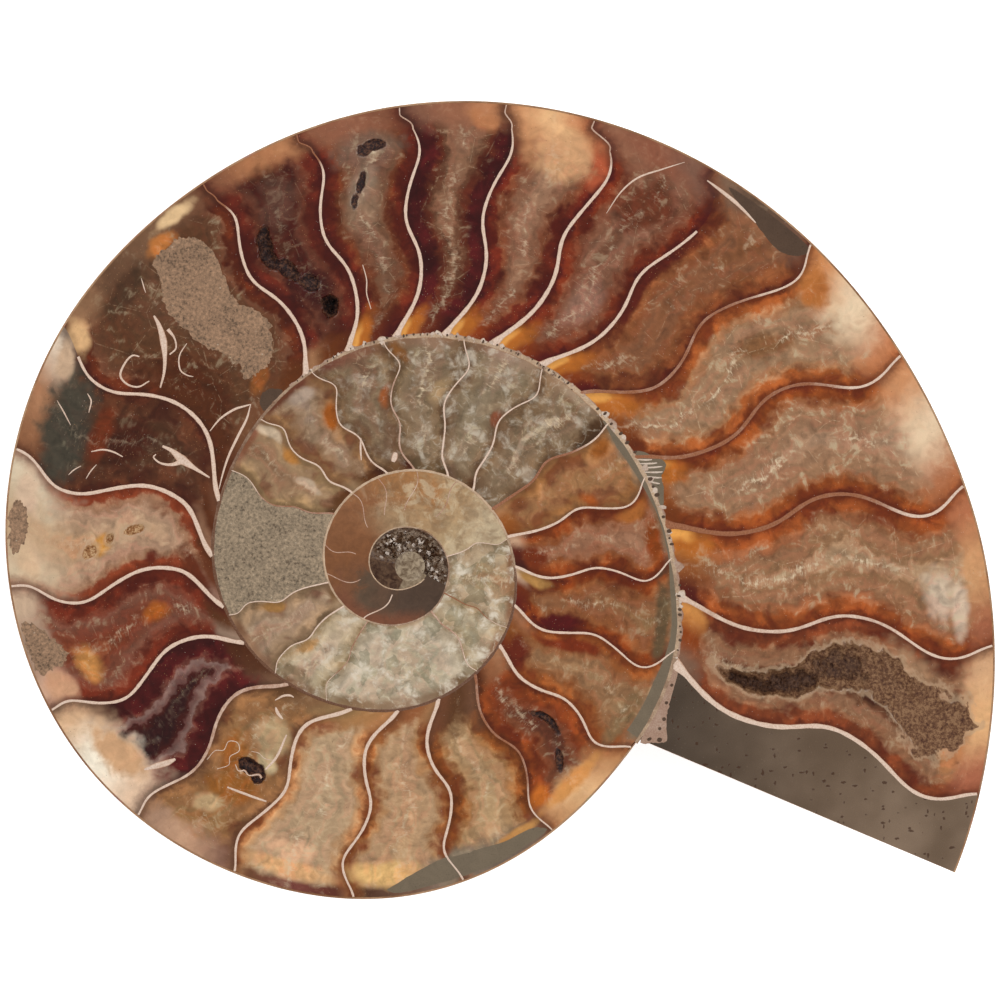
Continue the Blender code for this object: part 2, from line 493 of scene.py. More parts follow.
# ---------------------------------------------------------------- places on the polished face
# The cut shows the spiral as a coiled tube. A place on it is an angle, counted inwards along
# the tube from the wide end, and a share of the way across it, from inner wall to outer wall.
# Each chamber wall was laid down by the animal as one wavy sheet, so here it is one wavy line.
LIP = 0.24                                      # shell left standing round the rim, in mm
STATIONS = (0, 0.1, 0.2, 0.35, 0.5, 0.65, 0.8, 0.9, 1)
WALLS = (
    (-19.7, -23.3, -24.8, -23.8, -21.0, -21.8, -24.2, -23.7, -21.5),
    (-6.0, -8.9, -10.5, -9.7, -6.6, -6.9, -9.7, -9.5, -7.4),
    (9.6, 7.2, 5.7, 6.5, 9.5, 9.1, 5.6, 6.0, 8.7),
    (26.5, 22.7, 21.4, 21.9, 25.2, 25.0, 21.7, 21.9, 23.5),
    (46.5, 39.9, 36.1, 36.9, 39.9, 38.9, 36.8, 36.6, 39.2),
    (57.5, 53.1, 50.5, 50.2, 51.8, 50.2, 49.3, 50.2, 52.6),
    (70.0, 66.2, 63.9, 63.4, 65.1, 64.0, 62.9, 64.2, 67.5),
    (81.9, 78.2, 76.0, 76.0, 78.2, 77.7, 76.1, 76.9, 78.2),
    (94.0, 90.1, 88.0, 88.1, 90.7, 90.1, 88.5, 89.6, 91.3),
    (106.6, 102.5, 101.2, 101.7, 104.5, 104.1, 102.2, 103.2, 104.7),
    (118.7, 115.7, 114.9, 116.1, 118.9, 118.2, 116.4, 117.9, 118.4),
    (163.0, 150.6, 146.0, 144.9, 146.7, 149.6, 149.4, 147.0, 145.0),
    (179.0, 166.8, 163.5, 162.9, 165.2, 167.6, 167.2, 164.2, 163.3),
    (194.0, 183.1, 180.5, 180.7, 183.5, 186.3, 185.4, 182.9, 182.9),
    (205.5, 200.1, 198.2, 198.8, 202.4, 205.0, 203.4, 201.3, 202.0),
    (225.0, 218.5, 216.2, 218.1, 222.0, 223.4, 221.9, 221.3, 222.7),
    (249.5, 238.4, 236.3, 238.4, 241.0, 239.4, 237.4, 238.5, 240.4),
    (266.4, 259.2, 256.4, 257.9, 260.8, 259.7, 257.0, 258.3, 260.7),
    (283.0, 277.8, 275.4, 276.7, 280.2, 279.1, 276.6, 278.2, 279.9),
    (301.7, 297.6, 295.7, 296.8, 300.4, 299.4, 296.5, 297.1, 298.6),
    (319.0, 316.4, 314.7, 316.4, 319.4, 318.7, 316.2, 317.9, 321.3),
    (340.3, 335.6, 334.3, 337.2, 339.8, 338.2, 336.2, 338.0, 343.5),
    (360.5, 356.4, 355.1, 357.0, 359.6, 358.5, 356.2, 358.3, 362.5),
    (377.0, 376.2, 375.7, 376.6, 379.1, 376.8, 375.3, 377.0, 381.5),
    (394.8, 394.7, 394.6, 394.8, 397.7, 395.4, 394.4, 394.8, 396.0),
    (409.4, 414.6, 415.0, 415.7, 418.6, 416.7, 413.3, 414.9, 416.5),
    (425.8, 433.1, 434.6, 435.9, 438.2, 436.1, 433.2, 435.2, 436.9),
    (446.2, 453.1, 455.1, 453.8, 456.7, 455.4, 452.5, 455.4, 457.0),
    (462.5, 469.2, 471.0, 471.3, 476.2, 474.9, 472.1, 475.4, 477.0),
    (487.7, 490.3, 493.6, 492.1, 494.9, 495.1, 492.3, 494.4, 495.5),
    (504.5, 508.7, 511.8, 512.6, 515.7, 515.2, 511.8, 511.3, 511.8),
    (551.0, 551.3, 551.4, 552.6, 555.4, 553.3, 552.8, 555.4, 554.9),
    (571.0, 571.1, 571.3, 573.1, 575.6, 573.8, 574.6, 575.9, 579.0),
    (592.5, 592.8, 593.4, 594.6, 596.9, 595.6, 594.4, 596.2, 598.5),
    (655.0, 657.4, 658.3, 662.2, 664.1, 662.2, 660.5, 661.0, 663.0),
    (682.0, 683.5, 684.5, 685.6, 688.2, 686.3, 686.3, 686.8, 688.0),
    (735.0, 735.2, 735.4, 736.8, 739.5, 737.0, 733.9, 734.6, 736.0),
)


def wall_angle(wall, share):
    """Angle of a chamber wall at a share of the way across the tube."""
    table = tuple(zip(STATIONS, WALLS[wall]))
    share = np.asarray(share, float)
    spread = np.linspace(-0.05, 0.05, 7)[:, None]
    curve = smooth_curve(table, np.clip(share + spread, 0, 1)).mean(axis=0)
    if 5 <= wall <= 10:
        start = smooth_curve(table, np.clip(0.9 + spread[:, 0], 0, 1)).mean()
        hook = np.clip((share - 0.9) / 0.07, 0, 1) ** 1.4
        hooked = start + (table[-1][1] - start) * hook * hook * (3 - 2 * hook)
        curve = np.where(share > 0.9, hooked, curve)
    return curve


def tube_radius(angle, share):
    outer = rim_radius(angle) - LIP * np.clip((325 - angle) / 6, 0, 1)
    inner = rim_radius(angle + 360)
    return inner + (outer - inner) * share


def face_place(angle, share):
    """Place on the face, in mm from the middle of the coil."""
    radius = tube_radius(angle, share)
    turn = np.radians(angle)
    return radius * np.cos(turn), radius * np.sin(turn)


def wall_line(wall, points=120):
    share = np.linspace(0, 1, points)
    return np.stack(face_place(wall_angle(wall, share), share), axis=1)


def distance_to(line, x, y):
    """Distance in mm from each place to the nearest point of a line."""
    nearest = np.full(len(x), 1e9)
    for point in line:
        nearest = np.minimum(nearest, (x - point[0]) ** 2 + (y - point[1]) ** 2)
    return np.sqrt(nearest)


def keep_uv(piece, name, u, v):
    layer = piece.data.uv_layers.new(name=name)
    corners = np.zeros(len(piece.data.loops), int)
    piece.data.loops.foreach_get("vertex_index", corners)
    layer.data.foreach_set("uv", np.stack([u[corners], v[corners]], axis=1).ravel())


def thicken(piece, thickness):
    """Give a sheet of the face its thickness, downwards."""
    bpy.context.view_layer.objects.active = piece
    bpy.ops.object.modifier_add(type="SOLIDIFY")
    piece.modifiers[-1].thickness = thickness * MM
    piece.modifiers[-1].offset = -1
    bpy.ops.object.modifier_apply(modifier=piece.modifiers[-1].name)
    bpy.ops.object.shade_smooth_by_angle(angle=math.radians(40))


def lay_on_face(piece, x, y, depth):
    place_points(piece, COIL[0] + x * MM, COIL[1] + y * MM, FACE - np.asarray(depth) * MM + x * 0)


# ---------------------------------------------------------------- mud of the body chamber
# The animal's own room, open to the sea floor, filled with mud before the shell was sawn.
# It is one wedge between the straight saw cut and the last chamber wall.
CUT_MARGIN = 0.05
MUD_LIFT = 0.012
MUD_THICKNESS = 0.9
piece, u, v = add_grid("body_chamber_mud", 24, 90)
last_wall = wall_angle(0, v)
cut = np.full_like(v, -33.0)
for _ in range(12):
    cut = SAW_LEAN - np.degrees(np.arcsin(SAW_OFFSET / tube_radius(cut, v)))
cut = cut + np.degrees(CUT_MARGIN / tube_radius(cut, v))
angle = last_wall + (cut - last_wall) * u
x, y = face_place(angle, v)
lay_on_face(piece, x, y, -MUD_LIFT)
thicken(piece, MUD_THICKNESS)
piece.data.materials.append(mud_material)
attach(piece, "root")

# ---------------------------------------------------------------- crystal fillings of the last whorl
# After burial, calcite grew inwards from every chamber wall: first dark iron-stained crystals,
# then rust, then tan and white, until they met in the middle or left a hollow.
BAND_RANGE = 13.0                               # the farthest that a band can lie from its wall
FILLING_THICKNESS = 0.6


def read_value(start, name):
    return start.node(
        "ShaderNodeAttribute", {}, output=2, attribute_type="GEOMETRY", attribute_name=name)


def crystal_filling(name, bands, rim, seam, rim_mm=3.0, seam_mm=2.4, frost=0.5, web=0.0,
                    glow=0.4, lining=(), spots=(), pits=()):
    """Calcite in bands along a chamber's walls, each band given as its distance from the wall
    in mm and its colour. Rim and seam are the colours of the chamber's two ends, from its
    first wall to its second. A spot is (across, along, its half width and half length as
    shares of the chamber, colour)."""
    material, place, surface = new_material(name)
    fill = place.node("ShaderNodeAttribute", {}, output=1, attribute_name="fill")
    grain = place.node("ShaderNodeAttribute", {}, output=1, attribute_name="grain")
    from_left, from_right = read_value(place, "left_mm"), read_value(place, "right_mm")
    blotch = place.noise(0.33, 2, 0.5, 0.6)
    cloud = place.noise(0.5, 5, 0.6, 0.9)
    clump = place.noise(1.3, 4, 0.65)
    lobes = place.cells(0.62)
    rough_edge = (blotch - 0.5) * 2.0 + (cloud - 0.5) * 1.3 + (lobes - 0.42) * 1.1
    rough_edge = rough_edge + (clump - 0.5) * 0.9
    wall_side = from_left.least(from_right)
    depth = from_left.math("SMOOTH_MIN", from_right, 1.0) + rough_edge
    colour = depth.node("ShaderNodeValToRGB", {0: depth / BAND_RANGE}, stops=[
        (mm / BAND_RANGE, paint(*tone)) for mm, *tone in bands])
    rust = depth.between(0.3, 1.0) * depth.between(bands[2][0] + 0.6, bands[2][0] - 0.4)
    rust = rust * (1 - web)
    embers = place.noise(0.26, 3, 0.5, 0.5)
    ember_light = embers.between(0.46, 0.64) * rust * glow * 1.6 + 1.0
    colour = colour.node(
        "ShaderNodeVectorMath", {0: colour, 3: ember_light}, operation="SCALE")
    colour = (embers.between(0.5, 0.36) * rust).blend(colour, (0.7, 0.52, 0.52, 1), "MULTIPLY")

    across = fill.node("ShaderNodeSeparateXYZ", {0: fill}) + rough_edge * 0.05
    ends = None
    for tones, attribute, width in ((rim, "rim_mm", rim_mm), (seam, "seam_mm", seam_mm)):
        stops = [(0.1 + 0.8 * i / (len(tones) - 1), paint(*tone)) for i, tone in enumerate(tones)]
        end_colour = across.node("ShaderNodeValToRGB", {0: across}, stops=stops)
        mask = (read_value(place, attribute) / width + rough_edge * 0.36).between(1.45, 0.55)
        if attribute == "rim_mm":
            mask = mask * ((wall_side + clump).between(0.6, 2.6) * 0.7 + 0.3)
        colour = mask.blend(colour, end_colour)
        ends = mask if ends is None else ends.most(mask)
    for spot_across, spot_along, width, length, tone in spots:
        offset = fill.node("ShaderNodeVectorMath", {0: fill, 1: (spot_across, spot_along, 0)},
                           operation="SUBTRACT").stretch(1 / width, 1 / length, 0)
        reach = offset.node("ShaderNodeVectorMath", {0: offset}, output=1, operation="LENGTH")
        colour = (reach + rough_edge * 0.36).between(1.35, 0.55).blend(colour, paint(*tone))

    fibres = grain.stretch(0.3, 1.3, 1).noise(1.0, 3, 0.6, 0.5)
    dust = place.noise(6.0, 2, 0.6)
    inner = depth.between(1.6, 3.2) * (ends * -0.7 + 1.0)
    rings = (depth * 3.4 + blotch * 9).math("SINE") * inner
    light = (cloud - 0.5) * 1.3 + (fibres - 0.5) * 0.35 + (clump - 0.5) * 0.3 + rings * 0.1
    light = light * (ends * -0.5 + 1.0) + (dust - 0.5) * 0.16 + 1.0
    # Painted shade: a thin darker line in the stone along each chamber wall, up to 0.9 mm from it,
    # for the shade beside the raised wall.
    light = light * (wall_side.between(0.9, 0.3) * -0.22 + 1.0)
    colour = colour.node("ShaderNodeVectorMath", {0: colour, 3: light}, operation="SCALE")
    tint = (rings * 0.12 + embers).between(0.46, 0.6)
    colour = (tint * inner).blend(colour, (1.0, 0.9, 0.91, 1), "MULTIPLY")
    if web:
        bend = place.node("ShaderNodeTexNoise", {"Vector": place, "Scale": 0.6}, output=1)
        bent = place.node(
            "ShaderNodeVectorMath", {0: place, 1: bend.stretch(2.4, 2.4, 0)}, operation="ADD")
        lumps = bent.cells(0.5, feature="DISTANCE_TO_EDGE") + (clump - 0.5) * 0.2
        shade = bent.node("ShaderNodeSeparateColor", {0: bent.cells(0.5, output=1)})
        colour = (shade.between(0.1, 0.9) * web * 0.7).blend(
            colour, (0.62, 0.66, 0.62, 1), "MULTIPLY")
        snow = place.noise(0.42, 6, 0.64, 0.4).between(0.49, 0.66)
        snow = snow * (lumps.between(0.0, 0.22) * 0.6 + 0.4)
        colour = (snow * web * 0.75).blend(colour, paint(224, 212, 192))
        threads = lumps.between(0.06, 0.0) * cloud.between(0.5, 0.62) * web
        colour = (threads * 0.35).blend(colour, paint(224, 210, 188))
    frosting = (fibres * 0.3 + cloud * 0.7).between(0.54, 0.66) * inner
    colour = (frosting * frost * 0.6).blend(colour, paint(194, 180, 148))
    middle = ((from_left - from_right) + (blotch - 0.5) * 7 + (clump - 0.5) * 2).math("ABSOLUTE")
    seams = embers.between(0.44, 0.56) * inner
    feather = grain.stretch(0.42, 3.0, 1).noise(1.0, 3, 0.7, 1.0).between(0.54, 0.66)
    vein = middle.between(0.8, 0.1) * clump.between(0.4, 0.6) + middle.between(2.8, 0.3) * feather
    colour = (vein * seams * frost * 0.7).blend(colour, paint(222, 200, 168))
    faults = place.cells(0.17, feature="DISTANCE_TO_EDGE") + (clump - 0.5) * 0.03
    faults = faults.between(0.012, 0.002) * clump.between(0.46, 0.58) * inner
    colour = (faults * frost * 0.5).blend(colour, paint(218, 188, 152))
    flecks = place.cells(2.6).between(0.14, 0.05) * embers.between(0.47, 0.54)
    colour = (flecks * 0.5).blend(colour, paint(222, 172, 120))
    sparks = place.cells(1.9).between(0.1, 0.04) * clump.between(0.48, 0.56)
    colour = (sparks * 0.6).blend(colour, paint(226, 204, 186))
    pores = place.cells(1.1).between(0.07, 0.03)
    colour = (pores * 0.6).blend(colour, paint(70, 40, 28))
    if pits:
        sunk, hollow = read_value(place, "pit_mm"), read_value(place, "hollow")
        druse = place.noise(2.6, 4, 0.75) * 0.8 + fibres * 0.2
        tones = lining or ((28, 17, 15), (52, 32, 27), (98, 68, 54))
        lined = druse.node("ShaderNodeValToRGB", {0: druse}, stops=[
            (0.36 + 0.11 * step, paint(*tone)) for step, tone in enumerate(tones)])
        # Painted shade: the lining's crystal colour is darkened to about a third where the pit is
        # 0.6 to 1.5 mm deep, deepest darkest.
        lined = sunk.between(0.6, 1.5).blend(lined, (0.34, 0.28, 0.27, 1), "MULTIPLY")
        edge = hollow + (clump - 0.5) * 0.16 + (druse - 0.5) * 0.1
        if lining:
            fringe = edge.between(-0.2, -0.06) * edge.between(0.05, -0.02)
            colour = (fringe * 0.55).blend(colour, paint(186, 156, 126))
        colour = edge.between(-0.01, 0.04).blend(colour, lined)
    polish = dust * 0.1 + 0.13
    if pits:
        polish = polish + edge.between(0.0, 0.05) * 0.5
    wire_up(surface, height=rough_edge, relief=0.006, Base_Color=colour, Roughness=polish)
    return material


def fill_chamber(name, first_wall, columns, rows, material, pits=(), second_wall=None):
    """One chamber between two neighbouring walls. A pit is (across, along, half width,
    half length, depth in mm) and is left open where the crystals never met."""
    second_wall = first_wall + 1 if second_wall is None else second_wall
    piece, u, v = add_grid(name, columns, rows)
    across = 1 - u
    angle = wall_angle(first_wall, v) * (1 - across) + wall_angle(second_wall, v) * across
    x, y = face_place(angle, v)
    depth = np.zeros_like(x)
    hollow = np.full_like(x, -1.0)
    if pits:
        ragged, crust = (
            np.array([noise.fractal((px * scale, py * scale, level), *shape)
                      for px, py in zip(x, y)])
            for scale, level, shape in ((0.6, 0, (0.8, 2.2, 5)), (2.2, 7, (0.6, 2.2, 4))))
    for pit_across, pit_along, width, length, sink in pits:
        reach = np.hypot((across - pit_across) / width, (v - pit_along) / length)
        room = 1 - reach - 0.3 * ragged
        hollow = np.maximum(hollow, room * min(width * 4, 1))
        depth = np.maximum(depth, sink * np.clip(1.8 * room, 0, 1) ** 0.7 * (0.85 + 0.2 * crust))
    lay_on_face(piece, x, y, depth)
    left = distance_to(wall_line(first_wall), x, y)
    right = distance_to(wall_line(second_wall), x, y)
    radius = np.hypot(x, y)
    keep_values(
        piece, left_mm=left, right_mm=right,
        seam_mm=radius - tube_radius(angle, 0), rim_mm=tube_radius(angle, 1) - radius,
        pit_mm=depth, hollow=hollow,
    )
    keep_uv(piece, "fill", across, v)
    length = tube_radius(angle, 1) - tube_radius(angle, 0)
    keep_uv(piece, "grain", left - right, v * length)
    thicken(piece, FILLING_THICKNESS)
    piece.data.materials.append(material)
    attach(piece, "root")
    return piece


CHAMBERS = (
    (((0, 104, 54, 40), (1.6, 118, 64, 44), (2.6, 138, 98, 72), (4.2, 148, 108, 82),
      (4.9, 104, 70, 52), (5.8, 74, 46, 36)),
     ((170, 104, 78), (226, 176, 126), (214, 168, 128)),
     ((128, 96, 78), (140, 70, 38), (206, 140, 78)), dict(rim_mm=3.6, seam_mm=3.4,
         lining=((72, 46, 34), (106, 74, 54), (142, 108, 80)), spots=(
         (0.68, 0.75, 0.26, 0.1, (166, 128, 98)), (0.35, 0.89, 0.2, 0.04, (192, 132, 88))))),
    (((0, 120, 58, 36), (1.8, 140, 76, 45), (2.8, 146, 96, 66), (4.2, 156, 114, 84),
      (5.8, 152, 113, 82), (7.0, 174, 140, 108)),
     ((160, 98, 72), (210, 158, 112), (184, 116, 82)),
     ((88, 42, 28), (146, 88, 52), (202, 140, 80)), dict(seam_mm=4.0, frost=0.8, spots=(
         (0.32, 0.9, 0.2, 0.03, (206, 180, 156)), (0.42, 0.84, 0.2, 0.05, (198, 176, 152))))),
    (((0, 112, 52, 32), (1.6, 134, 72, 42), (2.5, 150, 98, 66), (3.4, 160, 120, 90),
      (5.5, 158, 120, 92), (7.5, 172, 136, 108)),
     ((178, 112, 76), (230, 202, 168), (206, 145, 102)),
     ((116, 62, 38), (146, 84, 48), (168, 130, 104)), dict(rim_mm=5.0, frost=1.0)),
    (((0, 118, 58, 34), (1.6, 146, 82, 48), (2.6, 160, 116, 82), (4.0, 164, 128, 98),
      (6.0, 160, 124, 94), (8.0, 146, 100, 70)),
     ((196, 128, 88), (232, 206, 172), (208, 140, 90)),
     ((106, 54, 30), (134, 76, 44), (160, 106, 66)), dict(rim_mm=5.0, frost=0.9, spots=(
         (0.84, 0.89, 0.14, 0.07, (180, 112, 62)), (0.5, 0.62, 0.14, 0.09, (134, 94, 64))))),
    (((0, 98, 46, 32), (1.2, 116, 66, 44), (2.4, 132, 82, 54), (3.8, 138, 92, 66),
      (6.8, 130, 84, 56)),
     ((120, 88, 72), (100, 80, 66), (124, 96, 78)),
     ((92, 40, 26), (134, 66, 38), (158, 98, 56)), dict(rim_mm=3.4, spots=(
         (0.6, 0.9, 0.2, 0.03, (146, 100, 72)), (0.95, 0.5, 0.12, 0.3, (92, 44, 32))))),
    (((0, 88, 40, 30), (1.4, 104, 50, 36), (2.2, 118, 70, 52), (3.4, 130, 88, 68),
      (4.4, 138, 98, 78), (5.6, 118, 80, 62), (7.0, 106, 64, 47)),
     ((130, 94, 78), (142, 90, 70), (146, 100, 78)),
     ((90, 40, 28), (130, 62, 34), (176, 118, 66)), dict(rim_mm=4.0, spots=(
         (0.48, 0.3, 0.22, 0.1, (152, 112, 94)), (0.5, 0.74, 0.3, 0.1, (108, 62, 46))))),
    (((0, 80, 38, 30), (1.6, 98, 46, 36), (2.4, 120, 72, 52), (3.6, 138, 96, 74),
      (5.0, 152, 114, 90), (6.4, 174, 134, 106)),
     ((196, 130, 90), (234, 186, 136), (202, 144, 102)),
     ((82, 36, 28), (140, 66, 38), (174, 122, 72)), dict(rim_mm=6.0, spots=(
         (0.1, 0.82, 0.12, 0.09, (176, 90, 62)), (0.42, 0.82, 0.26, 0.1, (206, 158, 116))))),
    (((0, 68, 28, 24), (1.8, 76, 32, 27), (2.8, 90, 50, 40), (3.6, 112, 74, 56),
      (4.4, 134, 98, 76), (6.0, 146, 106, 84)),
     ((190, 130, 92), (152, 102, 78), (132, 92, 74)),
     ((72, 33, 26), (110, 54, 32), (178, 134, 96)), dict(spots=(
         (0.24, 0.92, 0.14, 0.05, (182, 122, 84)),))),
    (((0, 82, 40, 31), (1.4, 96, 46, 35), (2.3, 108, 62, 44), (3.3, 120, 84, 64),
      (4.6, 128, 94, 75), (6.4, 120, 84, 67)),
     ((130, 84, 64), (148, 98, 76), (142, 94, 72)),
     ((76, 34, 26), (100, 50, 32), (146, 104, 70)), dict(spots=(
         (0.5, 0.6, 0.2, 0.12, (142, 112, 90)), (0.5, 0.84, 0.34, 0.08, (124, 96, 80)),
         (0.55, 0.7, 0.14, 0.08, (146, 122, 102))))),
    (((0, 82, 40, 31), (1.5, 88, 44, 34), (2.4, 98, 58, 46), (3.2, 100, 62, 50),
      (4.2, 76, 42, 34), (6.0, 84, 50, 40)),
     ((184, 128, 90), (176, 120, 84), (134, 88, 66)),
     ((98, 54, 34), (106, 60, 38), (160, 116, 84)), dict(rim_mm=2.6, frost=0.2, spots=(
         (0.5, 0.75, 0.2, 0.12, (96, 66, 56)), (0.55, 0.34, 0.3, 0.1, (70, 40, 34))))),
    (((0, 84, 44, 32), (1.8, 94, 50, 36), (2.4, 112, 74, 56), (3.4, 104, 70, 52),
      (6.0, 97, 66, 48), (12, 104, 74, 56)),
     ((120, 84, 64), (124, 92, 70), (106, 78, 60), (150, 112, 84)),
     ((100, 58, 38), (118, 80, 58), (90, 52, 34)), dict(rim_mm=2.6, spots=(
         (0.34, 0.9, 0.08, 0.04, (190, 120, 66)), (0.4, 0.12, 0.1, 0.04, (150, 92, 52)),
         (0.85, 0.3, 0.2, 0.3, (86, 52, 38)), (0.6, 0.86, 0.14, 0.06, (84, 62, 48)),
         (0.2, 0.965, 0.12, 0.035, (228, 192, 146)), (0.95, 0.92, 0.08, 0.07, (220, 176, 128))))),
    (((0, 82, 46, 35), (1.8, 88, 56, 43), (3.2, 90, 60, 46), (4.2, 82, 56, 43), (7, 85, 62, 51)),
     ((230, 208, 184), (172, 124, 92), (146, 100, 72)),
     ((110, 72, 54), (92, 54, 38), (150, 110, 86)), dict(rim_mm=3.4, frost=0.2, spots=(
         (0.55, 0.5, 0.3, 0.12, (76, 46, 36)), (0.5, 0.8, 0.6, 0.12, (78, 72, 62)),
         (0.42, 0.63, 0.3, 0.05, (112, 58, 40)), (0.14, 0.92, 0.16, 0.05, (204, 172, 142))))),
    (((0, 122, 58, 40), (1.2, 132, 66, 46), (2.0, 156, 116, 90), (3.0, 176, 140, 114),
      (4.5, 186, 152, 122), (7.0, 188, 148, 110)),
     ((218, 200, 172), (196, 164, 130), (208, 186, 156)),
     ((97, 56, 39), (106, 62, 44), (156, 118, 100)), dict(rim_mm=7.0, glow=0.2,
         lining=((104, 62, 34), (150, 104, 66), (196, 160, 120)), spots=(
         (0.55, 0.55, 0.1, 0.06, (200, 142, 74)),
         (0.25, 0.91, 0.2, 0.06, (216, 186, 158)), (0.78, 0.9, 0.16, 0.06, (214, 182, 148)),
         (0.8, 0.1, 0.3, 0.06, (104, 55, 40))))),
    (((0, 94, 46, 37), (1.6, 100, 48, 38), (2.4, 114, 64, 50), (3.2, 126, 82, 66),
      (4.2, 122, 72, 56), (5.5, 124, 66, 48), (6.6, 134, 78, 54)),
     ((206, 176, 148), (166, 140, 120), (206, 164, 138)),
     ((87, 47, 38), (95, 60, 42), (160, 132, 112)), dict(rim_mm=3.6, spots=(
         (0.6, 0.73, 0.2, 0.06, (196, 136, 78)), (0.52, 0.33, 0.12, 0.07, (172, 96, 46)),
         (0.84, 0.9, 0.14, 0.07, (204, 156, 122))))),
    (((0, 72, 38, 28), (2.4, 78, 38, 32), (3.0, 100, 62, 54), (3.5, 136, 106, 98),
      (4.1, 112, 80, 74), (4.6, 70, 40, 36), (5.5, 58, 34, 32)),
     ((218, 178, 140), (252, 240, 218), (230, 196, 166)),
     ((84, 51, 37), (91, 58, 43), (116, 85, 66)), dict(rim_mm=6.0, frost=0.1, spots=(
         (0.52, 0.84, 0.3, 0.09, (210, 166, 126)),))),
    (((0, 116, 76, 54), (1.0, 128, 90, 62), (2.0, 140, 100, 67), (3.4, 149, 112, 76),
      (6.0, 153, 110, 70)),
     ((172, 136, 112), (196, 155, 125), (140, 103, 86)),
     ((100, 70, 49), (132, 98, 70), (145, 114, 80)), dict(spots=(
         (0.7, 0.28, 0.26, 0.1, (184, 156, 118)), (0.5, 0.6, 0.3, 0.1, (150, 96, 50)),
         (0.3, 0.45, 0.16, 0.1, (156, 98, 50)), (0.45, 0.74, 0.16, 0.05, (196, 164, 122)),
         (0.72, 0.42, 0.12, 0.05, (204, 180, 140))))),
    (((0, 140, 78, 48), (0.9, 164, 112, 74), (1.6, 178, 136, 98), (2.6, 186, 156, 122),
      (5.0, 184, 155, 122), (7.0, 214, 176, 140)),
     ((116, 78, 58), (122, 72, 64), (98, 58, 48)),
     ((155, 118, 80), (168, 122, 80), (186, 130, 86)), dict(rim_mm=1.3, frost=0.8, spots=(
         (0.5, 0.9, 0.4, 0.05, (222, 172, 122)), (0.5, 0.8, 0.3, 0.05, (214, 176, 138))))),
    (((0, 130, 68, 40), (0.8, 150, 94, 57), (1.5, 169, 126, 88), (2.6, 178, 144, 110),
      (4.5, 184, 148, 112), (6.5, 200, 162, 122)),
     ((88, 60, 48), (122, 92, 76), (134, 116, 102)),
     ((126, 80, 54), (146, 92, 60), (160, 116, 80)), dict(rim_mm=1.4, spots=(
         (0.36, 0.88, 0.34, 0.07, (226, 182, 120)), (0.88, 0.92, 0.14, 0.09, (140, 122, 103))))),
    (((0, 112, 62, 38), (1.2, 136, 80, 46), (2.2, 154, 110, 72), (3.1, 172, 136, 98),
      (4.4, 184, 150, 112), (6.2, 188, 156, 115)),
     ((127, 111, 97), (118, 104, 92), (122, 100, 86)),
     ((114, 74, 54), (98, 66, 46), (109, 76, 58)), dict(rim_mm=3.0, seam_mm=5.0, spots=(
         (0.74, 0.9, 0.24, 0.03, (190, 138, 82)), (0.12, 0.88, 0.2, 0.08, (142, 126, 106))))),
    (((0, 108, 54, 34), (1.0, 128, 66, 40), (2.2, 122, 62, 40), (3.1, 126, 75, 53),
      (4.2, 104, 62, 48), (5.8, 128, 80, 57)),
     ((196, 145, 102), (224, 178, 130), (184, 132, 90)),
     ((94, 54, 37), (150, 98, 68), (166, 118, 86)), dict(rim_mm=4.0, spots=(
         (0.5, 0.87, 0.4, 0.05, (214, 150, 88)), (0.14, 0.8, 0.16, 0.06, (188, 105, 48)),
         (0.55, 0.55, 0.1, 0.22, (92, 56, 44))))),
)

# Hollows in the middle of some chambers: across, along, half width, half length, depth in mm.
PITS = {
    0: ((0.4, 0.25, 0.1, 0.12, 1.9), (0.46, 0.37, 0.15, 0.13, 1.8), (0.56, 0.51, 0.2, 0.14, 1.4),
        (0.6, 0.65, 0.2, 0.13, 0.9), (0.52, 0.8, 0.25, 0.14, 0.4)),
    8: ((0.42, 0.86, 0.12, 0.025, 0.5), (0.55, 0.84, 0.07, 0.03, 0.4),
        (0.56, 0.71, 0.05, 0.05, 0.4), (0.6, 0.63, 0.05, 0.04, 0.3)),
    9: ((0.7, 0.6, 0.1, 0.08, 1.2), (0.42, 0.23, 0.13, 0.05, 1.9), (0.52, 0.36, 0.13, 0.05, 0.8),
        (0.6, 0.45, 0.1, 0.07, 0.9), (0.68, 0.53, 0.09, 0.06, 1.0)),
    12: ((0.5, 0.38, 0.06, 0.05, 0.4), (0.52, 0.5, 0.05, 0.02, 0.6), (0.56, 0.6, 0.07, 0.04, 0.3)),
    15: ((0.5, 0.47, 0.12, 0.045, 1.0), (0.64, 0.49, 0.08, 0.05, 0.8)),
    19: ((0.62, 0.5, 0.06, 0.12, 0.6), (0.5, 0.72, 0.06, 0.06, 0.5)),
}
for index, (bands, rim, seam, look) in enumerate(CHAMBERS):
    name = f"last_whorl_filling_{index + 1:02d}"
    pits = PITS.get(index, ())
    wide = 2 if index in (10, 11) or pits else 1
    if 1 <= index <= 8:
        foot = ((0.84, 0.03, 0.26, 0.11, (178, 104, 48)), (0.92, 0.02, 0.13, 0.07, (228, 160, 84)))
        look["spots"] = look.get("spots", ()) + foot
    stone = crystal_filling(name, bands, rim, seam, pits=pits, **look)
    fill_chamber(name, index, 30 * wide, 200 if pits else 110, stone, pits)

